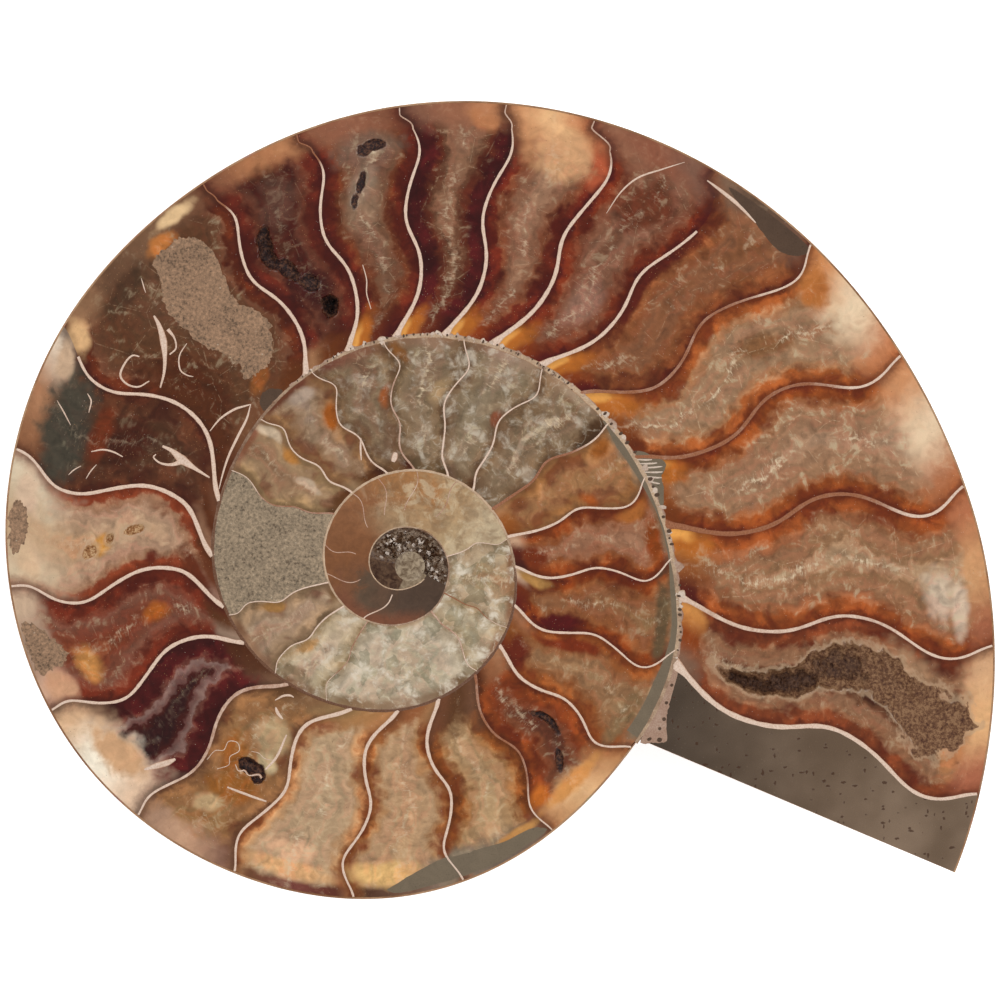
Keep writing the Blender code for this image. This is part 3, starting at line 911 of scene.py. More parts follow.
# ---------------------------------------------------------------- stone of the inner whorls
# The chambers of the second whorl held cleaner calcite, grey-green and cloudy, with one room
# of packed sediment. Only those nearest the saw cut are iron-stained like the last whorl.
INNER_CHAMBERS = (
    (((0, 126, 64, 34), (0.9, 142, 80, 46), (1.6, 142, 86, 52), (2.4, 144, 96, 64),
      (3.6, 152, 112, 80), (5.4, 154, 121, 88)),
     ((130, 114, 94), (130, 112, 96), (136, 120, 100)),
     ((110, 54, 32), (132, 78, 44), (156, 105, 76)), dict(rim_mm=1.7, seam_mm=2.8, spots=(
         (0.25, 0.12, 0.34, 0.08, (104, 48, 30)), (0.8, 0.38, 0.1, 0.2, (124, 56, 32)),
         (0.4, 0.86, 0.4, 0.05, (134, 106, 76))))),
    (((0, 104, 48, 28), (1.2, 122, 62, 36), (2.2, 134, 84, 54), (3.4, 141, 95, 66),
      (5.1, 140, 106, 74)),
     ((138, 120, 98), (130, 114, 92), (100, 80, 60)),
     ((101, 43, 22), (110, 54, 32), (210, 178, 148)), dict(rim_mm=1.3, seam_mm=1.6, spots=(
         (0.86, 0.11, 0.14, 0.1, (178, 132, 78)), (0.15, 0.28, 0.18, 0.14, (87, 36, 25)),
         (0.5, 0.9, 0.5, 0.05, (104, 84, 62))))),
    (((0, 112, 54, 33), (1.1, 124, 64, 39), (1.8, 138, 82, 52), (2.6, 152, 104, 78),
      (4.6, 160, 117, 91)),
     ((138, 112, 90), (128, 95, 70), (134, 108, 88)),
     ((77, 43, 31), (92, 45, 26), (206, 166, 135)), dict(rim_mm=1.0, seam_mm=2.0, spots=(
         (0.86, 0.82, 0.12, 0.12, (164, 100, 54)), (0.4, 0.9, 0.3, 0.05, (136, 70, 36)),
         (0.4, 0.14, 0.3, 0.08, (116, 56, 30))))),
    (((0, 142, 98, 64), (1.2, 149, 102, 64), (2.6, 156, 112, 76), (4.5, 164, 120, 82)),
     ((140, 124, 104), (138, 116, 95), (128, 112, 92)),
     ((137, 78, 42), (147, 88, 48), (173, 124, 86)), dict(rim_mm=1.4, seam_mm=2.0, frost=0.3, spots=(
         (0.14, 0.6, 0.14, 0.06, (158, 84, 44)), (0.85, 0.84, 0.12, 0.08, (150, 90, 46))))),
    (((0, 118, 88, 64), (0.9, 131, 104, 79), (2.0, 136, 112, 88), (3.1, 140, 117, 93),
      (4.8, 124, 100, 76)),
     ((118, 94, 74), (176, 152, 127), (150, 118, 92)),
     ((134, 110, 85), (122, 98, 76), (124, 96, 74)), dict(rim_mm=1.4, frost=0.7, web=0.7, spots=(
         (0.06, 0.86, 0.14, 0.16, (84, 61, 45)), (0.5, 0.5, 0.05, 0.3, (170, 148, 124))))),
    (((0, 118, 88, 66), (0.9, 134, 108, 84), (1.8, 138, 117, 93), (3.1, 153, 133, 109),
      (4.8, 154, 133, 110)),
     ((160, 132, 109), (160, 132, 113), (128, 95, 74)),
     ((97, 66, 46), (114, 91, 69), (124, 95, 76)), dict(
         rim_mm=1.4, seam_mm=1.4, frost=0.7, web=0.7, spots=(
         (0.08, 0.52, 0.1, 0.07, (146, 88, 64)),))),
    (((0, 118, 90, 67), (0.9, 131, 106, 81), (2.0, 139, 116, 92), (3.2, 143, 120, 96),
      (4.3, 138, 112, 90)),
     ((137, 104, 80), (154, 122, 100), (150, 114, 88)),
     ((96, 72, 48), (118, 94, 70), (111, 88, 65)), dict(
         rim_mm=1.4, seam_mm=1.4, frost=0.7, web=0.7, spots=(
         (0.2, 0.6, 0.15, 0.1, (168, 138, 104)), (0.9, 0.88, 0.1, 0.08, (140, 92, 54))))),
    (((0, 118, 88, 63), (0.9, 126, 98, 73), (2.0, 134, 112, 88), (3.1, 134, 106, 84),
      (4.2, 124, 93, 74)),
     ((128, 90, 70), (130, 90, 72), (106, 65, 54)),
     ((84, 48, 29), (110, 80, 56), (104, 76, 54)), dict(
         rim_mm=1.4, seam_mm=1.3, frost=0.8, web=0.4, spots=(
         (0.12, 0.58, 0.1, 0.1, (150, 88, 54)),))),
    (((0, 134, 94, 66), (0.9, 138, 102, 71), (2.0, 141, 110, 84), (3.1, 153, 127, 103),
      (4.0, 156, 130, 111)),
     ((112, 68, 54), (108, 68, 52), (102, 64, 50)),
     ((78, 49, 31), (95, 60, 38), (150, 120, 90)), dict(rim_mm=0.9, seam_mm=1.5, spots=(
         (0.12, 0.6, 0.14, 0.12, (160, 90, 42)), (0.4, 0.88, 0.2, 0.06, (172, 150, 132))))),
    (((0, 144, 114, 82), (0.9, 150, 121, 88), (1.8, 155, 126, 96), (3.1, 149, 117, 90),
      (3.8, 136, 102, 78)),
     ((140, 92, 73), (128, 85, 63), (146, 104, 82)),
     ((100, 64, 43), (100, 66, 44), (102, 72, 50)), dict(rim_mm=0.9, seam_mm=1.2, spots=(
         (0.14, 0.86, 0.09, 0.12, (206, 182, 154)), (0.12, 0.6, 0.1, 0.1, (184, 126, 68)),
         (0.42, 0.32, 0.1, 0.14, (192, 168, 142))))),
    (),
    (((0, 130, 104, 78), (0.9, 150, 122, 95), (1.8, 157, 130, 104), (2.6, 164, 139, 115),
      (3.8, 152, 122, 97)),
     ((114, 80, 60), (152, 118, 92), (134, 100, 79)),
     ((130, 103, 80), (121, 91, 65), (168, 140, 110)), dict(rim_mm=1.0, seam_mm=1.0, spots=(
         (0.12, 0.58, 0.12, 0.12, (166, 122, 74)),))),
    (((0, 176, 148, 112), (0.9, 188, 165, 134), (1.8, 195, 174, 145), (2.6, 194, 172, 146),
      (3.4, 171, 144, 120)),
     ((112, 78, 55), (136, 106, 84), (155, 124, 96)),
     ((171, 146, 119), (175, 155, 129), (200, 178, 148)), dict(
         rim_mm=1.2, seam_mm=0.6, frost=0.7, web=0.8, spots=(
         (0.14, 0.56, 0.14, 0.12, (192, 146, 98)), (0.4, 0.86, 0.3, 0.07, (150, 126, 100))))),
    (((0, 180, 154, 122), (1.0, 188, 170, 144), (2.0, 201, 184, 160), (3.4, 196, 181, 155),
      (6.0, 188, 171, 144), (9.0, 178, 160, 136)),
     ((144, 116, 88), (158, 130, 106), (132, 102, 76)),
     ((162, 136, 107), (172, 148, 118), (182, 156, 128)), dict(
         rim_mm=1.4, seam_mm=0.5, frost=0.7, web=1.25)),
    (((0, 188, 160, 124), (0.9, 198, 174, 142), (1.6, 203, 184, 156), (2.3, 194, 170, 140),
      (3.1, 178, 152, 126)),
     ((132, 92, 66), (152, 112, 86), (128, 86, 60)),
     ((211, 188, 162), (190, 166, 140), (195, 172, 140)), dict(
         rim_mm=1.0, seam_mm=0.5, frost=0.7, web=1.25)),
    (((0, 176, 148, 116), (0.9, 180, 155, 126), (2.0, 188, 165, 136), (3.1, 184, 159, 124),
      (5.0, 168, 132, 98)),
     ((152, 110, 84), (148, 110, 80), (146, 103, 77)),
     ((168, 142, 116), (178, 152, 124), (164, 134, 106)), dict(
         rim_mm=0.9, seam_mm=0.5, frost=0.7, web=1.25)),
)


def packed_sediment(name, tone):
    """Fine sea-floor sand and mud with many tiny pores, polished flat with the rest."""
    material, place, surface = new_material(name)
    grains = place.noise(2.4, 5, 0.8)
    patches = place.noise(0.3, 4, 0.65, 0.6)
    light = (grains - 0.5) * 3.6 + (patches - 0.5) * 0.8 + 1.0
    colour = place.node("ShaderNodeVectorMath", {0: tone[:3], 3: light}, operation="SCALE")
    pepper = place.cells(2.3) + (grains - 0.5) * 1.1 + (patches - 0.5) * 1.2
    colour = (pepper.between(0.3, 0.1) * 0.6).blend(colour, paint(84, 68, 54))
    shells = place.cells(1.1).between(0.13, 0.08) * patches.between(0.5, 0.6)
    colour = (shells * 0.6).blend(colour, paint(196, 182, 160))
    wire_up(surface, height=grains, relief=0.04, Base_Color=colour,
            Roughness=grains * 0.2 + 0.35)
    return material


sediment = packed_sediment("packed_sediment", paint(146, 128, 106))
for index, filling in enumerate(INNER_CHAMBERS):
    name = f"second_whorl_filling_{index + 1:02d}"
    stone = crystal_filling(name, *filling[:3], **filling[3]) if filling else sediment
    fill_chamber(name, 20 + index, 70 if index in (10, 13, 15) else 26, 70, stone)

# The third whorl is stained orange at its outer end and dark towards the middle of the coil.
piece, u, v = add_grid("third_whorl_filling", 220, 24)
angle = 1052 + (wall_angle(36, v) - 1052) * u
x, y = face_place(angle, v)
lay_on_face(piece, x, y, 0)
keep_values(piece, turn=(angle - 735) / 315, share=v)
thicken(piece, FILLING_THICKNESS)
material, place, surface = new_material("third_whorl_calcite")
turn, share = read_value(place, "turn"), read_value(place, "share")
cloud = place.noise(0.5, 4, 0.65, 0.7)
tide = turn + (cloud - 0.5) * 0.16 - (share - 0.5) * 0.08
colour = tide.node("ShaderNodeValToRGB", {0: tide}, stops=[
    (0.0, paint(188, 168, 138)), (0.1, paint(178, 148, 112)), (0.2, paint(164, 118, 78)),
    (0.36, paint(140, 96, 68)),
    (0.5, paint(128, 86, 60)), (0.57, paint(122, 84, 62)), (0.62, paint(98, 80, 66)),
    (0.7, paint(100, 78, 64)), (0.78, paint(86, 70, 60)), (1.0, paint(84, 68, 58))])
outer = (share + (cloud - 0.5) * 0.5).between(0.55, 0.9) * tide.between(0.5, 0.6)
outer = outer * tide.between(0.86, 0.76)
colour = outer.blend(colour, paint(122, 80, 62))
pale = (share + (cloud - 0.5) * 0.8).between(0.7, 0.2) * turn.between(0.42, 0.3)
colour = (pale * 0.6).blend(colour, paint(176, 152, 118))
veil = place.noise(0.9, 5, 0.65, 0.5)
frost = place.noise(0.42, 5, 0.68, 0.6)
colour = (frost.between(0.48, 0.62) * turn.between(0.42, 0.2) * 0.6).blend(
    colour, paint(206, 186, 154))
shadows = place.noise(0.36, 3, 0.6, 0.4).between(0.5, 0.62) * turn.between(0.42, 0.3)
colour = (shadows * 0.4).blend(colour, paint(128, 98, 72))
light = (veil - 0.5) * 0.9 + (place.noise(4.0, 3, 0.7) - 0.5) * 0.3 + 1.0
colour = colour.node("ShaderNodeVectorMath", {0: colour, 3: light}, operation="SCALE")
wire_up(surface, height=veil, relief=0.01, Base_Color=colour, Roughness=cloud * 0.1 + 0.14)
piece.data.materials.append(material)
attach(piece, "root")

# The last turn inwards stayed partly hollow and is lined with tiny sparkling crystals round
# the first chamber, a bead of grey calcite at the very middle of the coil.
piece, u, v = add_grid("innermost_turn", 200, 24)
angle = 1412 - 360 * u
middle_radius = 1.95
x = (middle_radius - 0.3 + (rim_radius(angle) - middle_radius + 0.3) * v)
x, y = x * np.cos(np.radians(angle)), x * np.sin(np.radians(angle))
hollow = np.clip((1248 - angle) / 16, 0, 1) * np.clip(np.sin(v * math.pi) * 1.6, 0, 1)
lumps = np.sin(13 * x + 5 * np.sin(9 * y)) * np.sin(11 * y + 4 * np.sin(7 * x))
lay_on_face(piece, x, y, hollow * (0.5 + 0.28 * lumps))
keep_values(piece, hollow=hollow, tail=(angle - 1050) / 360)
thicken(piece, FILLING_THICKNESS)
material, place, surface = new_material("innermost_calcite")
hollow, tail = read_value(place, "hollow"), read_value(place, "tail")
cloud = place.noise(1.2, 4, 0.65, 0.6)
colour = cloud.between(0.35, 0.65).blend(paint(66, 48, 40), paint(104, 80, 62))
colour = tail.between(0.755, 0.765).blend(colour, cloud.between(0.3, 0.7).blend(
    paint(112, 94, 76), paint(156, 138, 114)))
sparkle = place.cells(2.6, output=1)
sparkle = sparkle.node("ShaderNodeSeparateColor", {0: sparkle})
tone = (sparkle.between(0.3, 0.8) * hollow).blend(colour, paint(160, 140, 122))
colour = (sparkle.between(0.88, 0.94) * hollow).blend(tone, paint(226, 212, 200))
wire_up(surface, height=sparkle, relief=0.02, Base_Color=colour, Roughness=cloud * 0.2 + 0.2)
piece.data.materials.append(material)
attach(piece, "root")

bpy.ops.object.select_all(action="DESELECT")
bpy.ops.mesh.primitive_cylinder_add(
    vertices=96, radius=middle_radius * MM, depth=0.6 * MM,
    location=(COIL[0], COIL[1], FACE - 0.28 * MM))
bead = bpy.context.object
bead.name = "first_chamber"
bpy.ops.object.mode_set(mode="EDIT")
bpy.ops.mesh.bevel(offset=0.05 * MM, segments=2)
bpy.ops.object.mode_set(mode="OBJECT")
bpy.ops.object.transform_apply(location=True, rotation=False, scale=False)
bpy.ops.object.shade_smooth_by_angle(angle=math.radians(40))
material, place, surface = new_material("first_chamber_calcite")
cloud = place.noise(1.3, 4, 0.65, 0.6)
colour = cloud.between(0.35, 0.65).blend(paint(112, 94, 76), paint(166, 148, 124))
pores = place.cells(1.6).between(0.16, 0.08)
colour = (pores * 0.8).blend(colour, paint(60, 44, 36))
wire_up(surface, height=cloud, relief=0.02, Base_Color=colour, Roughness=cloud * 0.2 + 0.2)
bead.data.materials.append(material)
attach(bead, "root")

# ---------------------------------------------------------------- chamber walls and whorl wall
# Nacre, sawn across: each wall is a thin cream line, harder than the calcite and so left
# a hair proud by the polish. It widens into a foot where it was fixed to the inner whorl.


def shell_ribbon(name, line, widths, stain=0.0, columns=4, lift=0.03):
    """A sheet of shell seen edge-on: a narrow raised band along a line of places, in mm."""
    rows = len(line) - 1
    piece, u, v = add_grid(name, columns, rows)
    row = np.round(v * rows).astype(int)
    along = np.gradient(line, axis=0)
    along /= np.linalg.norm(along, axis=1)[:, None] + 1e-9
    side = (u - 0.5) * (np.zeros(rows + 1) + widths)[row]
    x = line[row, 0] + along[row, 1] * side
    y = line[row, 1] - along[row, 0] * side
    lay_on_face(piece, x, y, -lift * (1 - (2 * u - 1) ** 4))
    keep_values(piece, stain=(np.zeros(rows + 1) + stain)[row], edge=np.abs(2 * u - 1))
    thicken(piece, 0.35)
    return piece


def join_pieces(name, pieces):
    with bpy.context.temp_override(active_object=pieces[0], selected_editable_objects=pieces):
        bpy.ops.object.join()
    pieces[0].name = name
    pieces[0].data.name = name
    return pieces[0]


def nacre(name, clean, stained):
    material, place, surface = new_material(name)
    stain, edge = read_value(place, "stain"), read_value(place, "edge")
    drift = place.noise(0.6, 3, 0.6)
    layers = place.noise(4.0, 3, 0.7)
    colour = (stain + (drift - 0.5) * 0.7).between(0.2, 0.8).blend(clean, stained)
    colour = layers.between(0.6, 0.35).blend(colour, (0.84, 0.78, 0.74, 1), "MULTIPLY")
    colour = edge.between(0.62, 1.0).blend(colour, (0.74, 0.58, 0.48, 1), "MULTIPLY")
    wire_up(surface, height=layers, relief=0.01, Base_Color=colour, Roughness=layers * 0.1 + 0.22)
    return material


cream_nacre = nacre("cream_nacre", paint(228, 204, 186), paint(158, 106, 78))
WALL_WIDTHS = (
    0.74, 0.5, 0.6, 0.5, 0.4, 0.46, 0.54, 0.48, 0.48, 0.46, 0.48, 0.52, 0.56, 0.5, 0.5, 0.44, 0.46,
    0.44, 0.44, 0.32, 0.42, 0.34, 0.34, 0.34, 0.34, 0.24, 0.24, 0.22, 0.22, 0.24, 0.18, 0.18, 0.2,
    0.14, 0.2, 0.14, 0.14,
)
WALL_STAINS = {
    1: 0.35, 2: 0.8, 3: 0.8, 4: 0.7, 15: 0.5, 19: 0.7, 24: 0.8, 27: 0.5, 30: 0.6, 33: 0.6, 34: 0.5,
    35: 0.8,
}
walls = []
for index, width in enumerate(WALL_WIDTHS):
    share = np.linspace(0.002, 0.998, 130 if index < 20 else 70)
    if index == 5:
        share = share[share < 0.77]
    if index == 11:
        share = share[share < 0.88]
    line = np.stack(face_place(wall_angle(index, share), share), axis=1)
    flare = 1.5 if index in (0, 1, 2, 5, 6, 7, 8, 9, 10) else 0.2
    foot = (1.12 - 0.5 * share) * (1 + flare * np.exp(-share / 0.025))
    frayed = 1 + 0.12 * np.sin(share * 90 + index) * np.sin(share * 37)
    stain = WALL_STAINS.get(index, 0.1) * np.clip((0.86 - share) / 0.2, 0, 1)
    if 6 <= index <= 10:
        near_rim = np.clip((share - 0.78) / 0.12, 0, 1)
        foot = foot * (1 - 0.42 * near_rim)
        stain = stain + near_rim * (1.0 if index > 8 else 0.45)
    walls.append(shell_ribbon("wall", line, width * foot * frayed, stain))
walls = join_pieces("chamber_walls", walls)
walls.data.materials.append(cream_nacre)
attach(walls, "root")

pale_nacre = nacre("whorl_wall_nacre", paint(206, 180, 152), paint(116, 84, 66))
angle = np.arange(322.0, 1400.0, 1.5)
radius = rim_radius(angle)
line = np.stack([radius * np.cos(np.radians(angle)), radius * np.sin(np.radians(angle))], axis=1)
width = np.interp(angle, (322, 345, 420, 480, 700, 760, 900, 1050, 1400),
                  (0.5, 0.7, 0.7, 0.4, 0.34, 0.34, 0.28, 0.2, 0.14))
width = width * (1 + 0.2 * np.sin(angle * 0.9) * np.sin(angle * 0.31))
stain = np.interp(angle, (322, 400, 480, 560, 700, 740, 900, 1060, 1400),
                  (0.5, 0.3, 0.5, 0.9, 0.9, 0.3, 0.3, 0.6, 0.2))
whorl_wall = shell_ribbon("whorl_wall", line[::-1], width[::-1], stain[::-1])
whorl_wall.data.materials.append(pale_nacre)
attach(whorl_wall, "root")

# ---------------------------------------------------------------- sediment, mud and broken shell
# Sand and mud that washed into damaged chambers before the crystals grew, and splinters of
# the walls they broke. Each pocket is one flat patch and each splinter one narrow ribbon.


def face_patch(name, outline, material, lift=0.015, ragged=0.12):
    """A flat patch of the face inside an outline of (angle, share) places."""
    places = np.array(outline, float)
    x, y = face_place(places[:, 0], places[:, 1])
    steps = len(places) * 14
    loop = np.linspace(0, len(places), steps, endpoint=False)
    rings = []
    for values in (x, y):
        wrapped = np.concatenate([values[-3:], values, values[:3]])
        rings.append(smooth_curve(tuple(zip(range(-3, len(places) + 3), wrapped)), loop))
    middle_x, middle_y = rings[0].mean(), rings[1].mean()
    grow = np.array([noise.fractal((px * 1.4, py * 1.4, 3), 0.7, 2.1, 4) for px, py in zip(*rings)])
    away = np.hypot(rings[0] - middle_x, rings[1] - middle_y)
    ring_x = rings[0] + (rings[0] - middle_x) / away * grow * ragged
    ring_y = rings[1] + (rings[1] - middle_y) / away * grow * ragged
    bpy.ops.object.select_all(action="DESELECT")
    bpy.ops.mesh.primitive_circle_add(vertices=steps, radius=1, fill_type="NGON")
    piece = bpy.context.object
    piece.name = name
    piece.data.name = name
    area = np.sum(ring_x * np.roll(ring_y, -1) - np.roll(ring_x, -1) * ring_y)
    if area < 0:
        ring_x, ring_y = ring_x[::-1], ring_y[::-1]
    lay_on_face(piece, ring_x, ring_y, -lift)
    if piece.data.polygons[0].normal.z < 0:
        piece.data.flip_normals()
    thicken(piece, 0.3)
    piece.data.materials.append(material)
    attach(piece, "root")
    return piece


def plain_mud(name, tone):
    material, place, surface = new_material(name)
    cloud = place.noise(0.5, 4, 0.6, 0.6)
    grains = place.noise(5.0, 2, 0.7)
    light = (cloud - 0.5) * 0.5 + (grains - 0.5) * 0.3 + 1.0
    colour = place.node("ShaderNodeVectorMath", {0: tone[:3], 3: light}, operation="SCALE")
    specks = place.cells(0.9).between(0.1, 0.05)
    colour = (specks * 0.6).blend(colour, paint(60, 50, 42))
    wire_up(surface, height=grains, relief=0.01, Base_Color=colour, Roughness=grains * 0.2 + 0.2)
    return material


pale_mud = plain_mud("pale_mud", paint(118, 105, 88))
# Dark mud for the real mud patches, also used as the painted shade of the rib holes.
dark_mud_and_hole_shade = plain_mud("dark_mud_and_hole_shade", paint(88, 70, 58))
brown_sediment = packed_sediment("brown_sediment", paint(146, 116, 92))
face_patch("sediment_pocket", (
    (122.5, 0.78), (124, 0.84), (126.5, 0.875), (130, 0.86), (131.2, 0.78), (133.4, 0.67),
    (133.5, 0.55), (133, 0.42), (131, 0.32), (130.2, 0.23), (131.6, 0.18), (129, 0.16),
    (126.3, 0.14), (124, 0.16), (121.5, 0.22), (120, 0.31), (121.5, 0.4), (123.3, 0.47),
    (122.6, 0.6), (122, 0.7)), brown_sediment, ragged=0.5)
face_patch("rim_sediment_1", (
    (170.3, 0.95), (171.5, 0.985), (174.5, 0.99), (177.6, 0.985), (178, 0.96), (176, 0.91),
    (173, 0.9), (171, 0.92)), brown_sediment, ragged=0.5)
face_patch("rim_sediment_2", (
    (188.3, 0.985), (192, 0.99), (195.6, 0.985), (196.2, 0.93), (195.4, 0.84), (194, 0.81),
    (191.6, 0.86), (189, 0.92)), brown_sediment, ragged=0.5)
face_patch("rim_mud_dark", (
    (38.7, 0.985), (44, 0.985), (49.6, 0.98), (48.6, 0.955), (45, 0.925), (41, 0.9), (38.8, 0.93)),
    dark_mud_and_hole_shade)
face_patch("seam_mud_dark", (
    (126, 0.012), (127.5, 0.05), (129.5, 0.07), (132, 0.06), (133.2, 0.012),
    (129.5, 0.008)), dark_mud_and_hole_shade)
face_patch("seam_mud_pale", (
    (13.5, 0.006), (17, 0.04), (19.5, 0.05), (21.7, 0.085), (23.7, 0.07), (26.5, 0.01)), pale_mud)
face_patch("rim_mud_pale", (
    (266, 0.97), (270, 0.985), (284, 0.985), (293, 0.985), (297.5, 0.98), (295, 0.92), (289, 0.9),
    (284.5, 0.875), (280, 0.865), (276.6, 0.85), (272, 0.88), (268, 0.93)), pale_mud, ragged=0.2)
angle = np.arange(323.0, 398.0, 1.0)
width = np.interp(angle, (323, 335, 345, 355, 362, 372, 380, 390, 397),
                  (1.9, 1.7, 1.0, 0.9, 0.5, 0.5, 0.9, 1.2, 0.5))
radius = rim_radius(angle) - width / 2
line = np.stack([radius * np.cos(np.radians(angle)), radius * np.sin(np.radians(angle))], axis=1)
mud_band = shell_ribbon("mud_band", line[::-1], width[::-1], lift=0.015)
mud_band.data.materials.append(pale_mud)
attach(mud_band, "root")


def splinter(places, width, taper=0.5, stain=0.25):
    """A broken strip of shell along (angle, share) places, one width or one for each place."""
    places = np.array(places, float)
    steps = np.linspace(0, len(places) - 1, 8 * len(places))
    angle = smooth_curve(tuple(enumerate(places[:, 0])), steps)
    share = smooth_curve(tuple(enumerate(places[:, 1])), steps)
    line = np.stack(face_place(angle, share), axis=1)
    along = np.linspace(0, 1, len(steps))
    widths = np.interp(along, np.linspace(0, 1, np.size(width)), np.atleast_1d(width))
    return shell_ribbon("splinter", line, widths * (1 - taper * np.abs(2 * along - 1) ** 2), stain)


SPLINTERS = (
    (((135.6, 0.69), (136.2, 0.64), (137.6, 0.58), (139.8, 0.525), (142, 0.49), (144.4, 0.47)),
     (0.25, 0.6, 0.95, 0.5, 0.34, 0.2), 0.0),
    (((135.6, 0.6), (135.9, 0.55), (137, 0.515), (138.6, 0.52)), (0.5, 0.24, 0.2, 0.2), 0.0),
    (((142.2, 0.63), (142.8, 0.66), (144.4, 0.67), (146.6, 0.66), (147.2, 0.61), (146.5, 0.56),
      (144.6, 0.53)), 0.28, 0.4),
    (((135, 0.49), (137.6, 0.48), (139.4, 0.44), (139.4, 0.4), (138.8, 0.37)), 0.2, 0.5),
    (((133, 0.85), (133.5, 0.82), (134, 0.79)), 0.16, 0.5),
    (((134.5, 0.078), (136.2, 0.1), (138.2, 0.125), (142, 0.155), (145.9, 0.168)), 0.3, 0.6),
    (((134.5, 0.078), (138, 0.052), (143, 0.042), (150, 0.035), (158, 0.02)), 0.34, 0.7),
    (((154.8, 0.88), (156, 0.83), (157.4, 0.78)), 0.18, 0.6),
    (((151.8, 0.76), (152.6, 0.73), (154.4, 0.72)), 0.2, 0.5),
    (((160.2, 0.65), (159.2, 0.6), (158.9, 0.55), (159.1, 0.5)), 0.25, 0.5),
    (((154.1, 0.34), (154.1, 0.29), (154.9, 0.23), (155.5, 0.16), (156.1, 0.08)),
     (0.3, 0.55, 1.25, 0.5, 0.2), 0.0),
    (((155.4, 0.23), (156.9, 0.27), (157.5, 0.32), (157, 0.36), (156.2, 0.355)),
     (0.7, 0.4, 0.26, 0.2, 0.14), 0.0),
    (((162, 0.61), (163.4, 0.63), (164.9, 0.645)), 0.16, 0.5),
    (((163, 0.68), (164, 0.71), (165, 0.73)), 0.16, 0.5),
    (((217.4, 0.805), (218.2, 0.75), (219, 0.7), (219.4, 0.66)), (0.3, 0.8, 0.8, 0.3), 0.0),
    (((223.6, 0.56), (223.4, 0.5), (224.6, 0.47), (224, 0.42), (225.6, 0.4), (227.2, 0.43),
      (226.6, 0.48), (227.6, 0.52), (226.4, 0.57)), 0.12, 0.2),
    (((228.6, 0.5), (230, 0.52), (231, 0.505), (232.4, 0.515), (234, 0.49), (235, 0.5)), 0.14, 0.2),
    (((229.4, 0.4), (231, 0.39), (233, 0.4), (235.4, 0.385)), 0.1, 0.2),
    (((230.4, 0.622), (234, 0.61), (238.6, 0.6)), 0.34, 0.4),
    (((226.4, 0.14), (228, 0.16), (230.2, 0.175)), 0.42, 0.6),
    (((224.8, 0.11), (225.6, 0.07), (227, 0.05), (228.4, 0.048)), 0.3, 0.6),
    (((44.8, 0.925), (47.5, 0.94), (50, 0.948), (52.4, 0.955)), 0.5, 0.7),
    (((55.8, 0.975), (57.6, 0.91), (59.6, 0.84), (60.6, 0.76), (60.9, 0.66)), 0.24, 0.7),
    (((457.2, 0.145), (458, 0.11), (459.2, 0.08)), 0.75, 0.4),
    (((470.9, 0.34), (472.6, 0.27), (474.6, 0.18)), 0.26, 0.4),
    (((98.9, 0.35), (98.6, 0.28), (99, 0.22), (98.6, 0.15)), 0.16, 0.3),
    (((234.6, 0.45), (235, 0.36), (233.8, 0.24)), 0.34, 0.4),
)
pieces = [splinter(places, width, taper) for places, width, taper in SPLINTERS]
for start, size in ((778, 0), (806, 0), (828, 0), (848, 0), (884, 0), (908, 0), (951, 1)):
    share = np.linspace(0.98, 0.3 - 0.15 * size, 16)
    angle = start + 3.2 * np.sin(share * 6.5 + 0.6 * start) + (1 - share) * 9
    line = np.stack(face_place(angle, share), axis=1)
    pieces.append(shell_ribbon("splinter", line, 0.11 + 0.05 * size, 0.5 - 0.2 * size, lift=0.01))
splinters = join_pieces("shell_splinters", pieces)
splinters.data.materials.append(cream_nacre)
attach(splinters, "root")

# ---------------------------------------------------------------- crumbs along the inner whorl
# The last whorl was built against the ribs of the whorl inside it. Sawn across, those ribs
# show as a row of cream blocks and beads with small dark holes between them.
rng = np.random.default_rng(11)
blocks = []
holes = []
angle = -19.0
while angle < 121:
    size = np.interp(angle, (-19, 0, 18, 40, 57, 100, 121), (0.7, 1.0, 1.1, 0.9, 0.55, 0.6, 0.35))
    step = size * rng.uniform(0.4, 2.4)
    radius = rim_radius(angle + 360)
    degrees = np.degrees(step / radius)
    height = size * rng.uniform(0.25, 1.0) / (rim_radius(angle) - radius)
    lean = degrees * rng.uniform(-0.8, 0.8)
    if 39 < angle < 57:
        height *= 0.4
    if rng.random() < 0.65:
        places = ((angle, -0.004), (angle + lean * 0.5, height * 0.5), (angle + lean, height))
        widths = step * rng.uniform(0.25, 1.0, 3)
        blocks.append(splinter(places, widths, 0.3, rng.uniform(0.1, 0.7)))
    if rng.random() < 0.6:
        spot = face_place(angle + degrees * 0.5, height * 0.5)
        holes.append((*spot, size * rng.uniform(0.14, 0.26), angle))
    angle += degrees
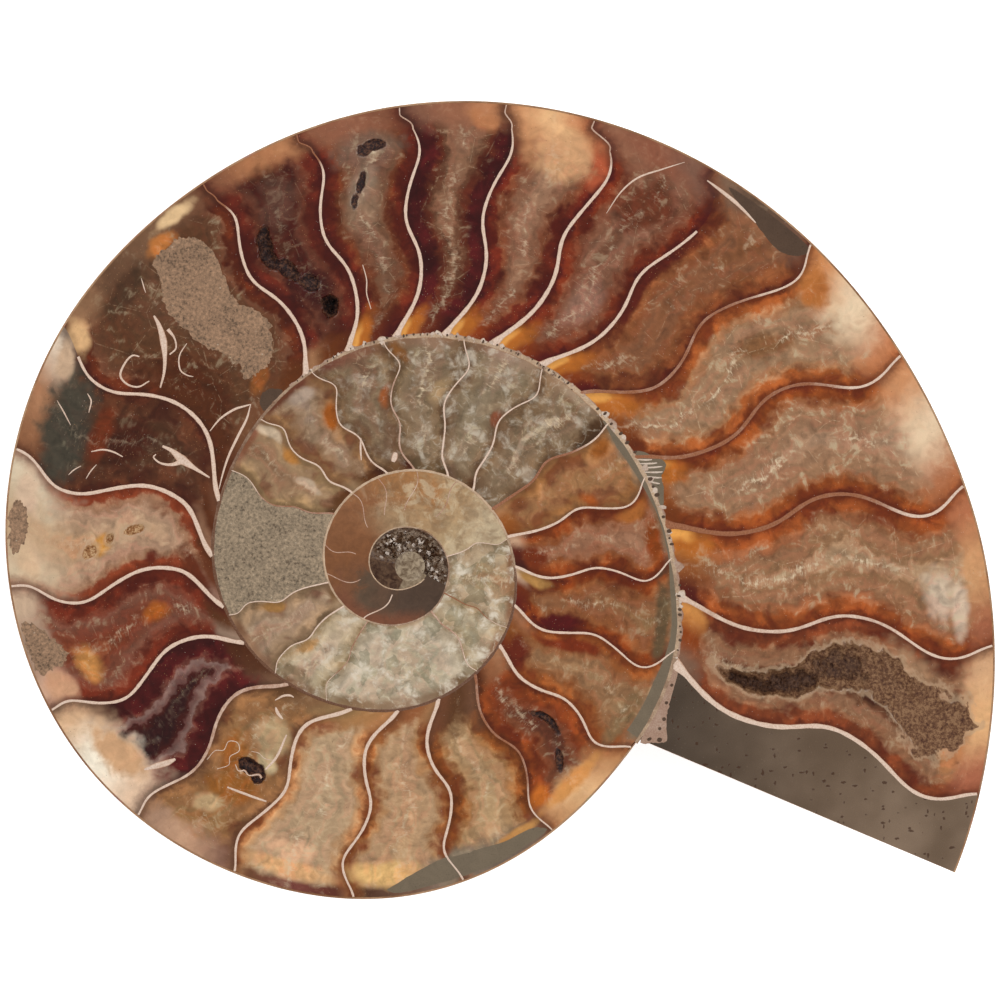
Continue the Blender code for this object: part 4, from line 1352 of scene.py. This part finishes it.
for angle, share, size in ((-34.8, 0.052, 0.3), (-33, 0.036, 0.2), (-31, 0.034, 0.24),
                           (-28, 0.02, 0.2), (-24.4, 0.015, 0.18), (-35.8, 0.026, 0.2)):
    holes.append((*face_place(angle, share), size, angle + 60))
for angle, height in ((18.3, 0.035), (19.4, 0.05), (20.5, 0.062), (21.6, 0.07),
                      (22.7, 0.06), (23.8, 0.05)):
    tooth = ((angle + 1.4, 0.004), (angle + 0.5, height * 0.6), (angle, height))
    blocks.append(splinter(tooth, 0.3, 0.5))
angle = np.arange(-22.0, 124.0, 0.8)
radius = rim_radius(angle + 360) + 0.12 + 0.1 * np.sin(angle * 1.7)
line = np.stack([radius * np.cos(np.radians(angle)), radius * np.sin(np.radians(angle))], axis=1)
width = np.interp(angle, (-22, 18, 30, 124), (0.75, 0.6, 0.3, 0.3)) + 0.12 * np.sin(angle * 2.3)
blocks.append(shell_ribbon("strip", line[::-1], width[::-1], 0.75, lift=0.02))
blocks = join_pieces("rib_crumbs", blocks)
crumb_nacre = nacre("crumb_nacre", paint(214, 196, 180), paint(170, 140, 122))
blocks.data.materials.append(crumb_nacre)
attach(blocks, "root")

# Painted shade: each hole between the crumbs is a flat disc laid on the face, its dark mud colour
# standing for the shade in the hole.
dots = []
for x, y, size, lean in holes:
    bpy.ops.mesh.primitive_cylinder_add(
        vertices=12, radius=size * MM, depth=0.3 * MM, rotation=(0, 0, math.radians(lean)),
        scale=(rng.uniform(1.0, 1.9), 1, 1),
        location=(COIL[0] + x * MM, COIL[1] + y * MM, FACE - 0.1 * MM))
    bpy.ops.object.transform_apply(location=True, rotation=True, scale=True)
    dots.append(bpy.context.object)
holes = join_pieces("rib_holes", dots)
holes.data.materials.append(dark_mud_and_hole_shade)
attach(holes, "root")

wedge = face_patch("rib_wedge", (
    (-37, 0.008), (-36, 0.04), (-34.2, 0.07), (-32, 0.05), (-29, 0.032), (-25, 0.024),
    (-21.5, 0.02), (-21, 0.004), (-28, 0.002)), crumb_nacre, ragged=0.2)
corners = np.zeros(len(wedge.data.vertices))
keep_values(wedge, stain=corners + 0.75, edge=corners)
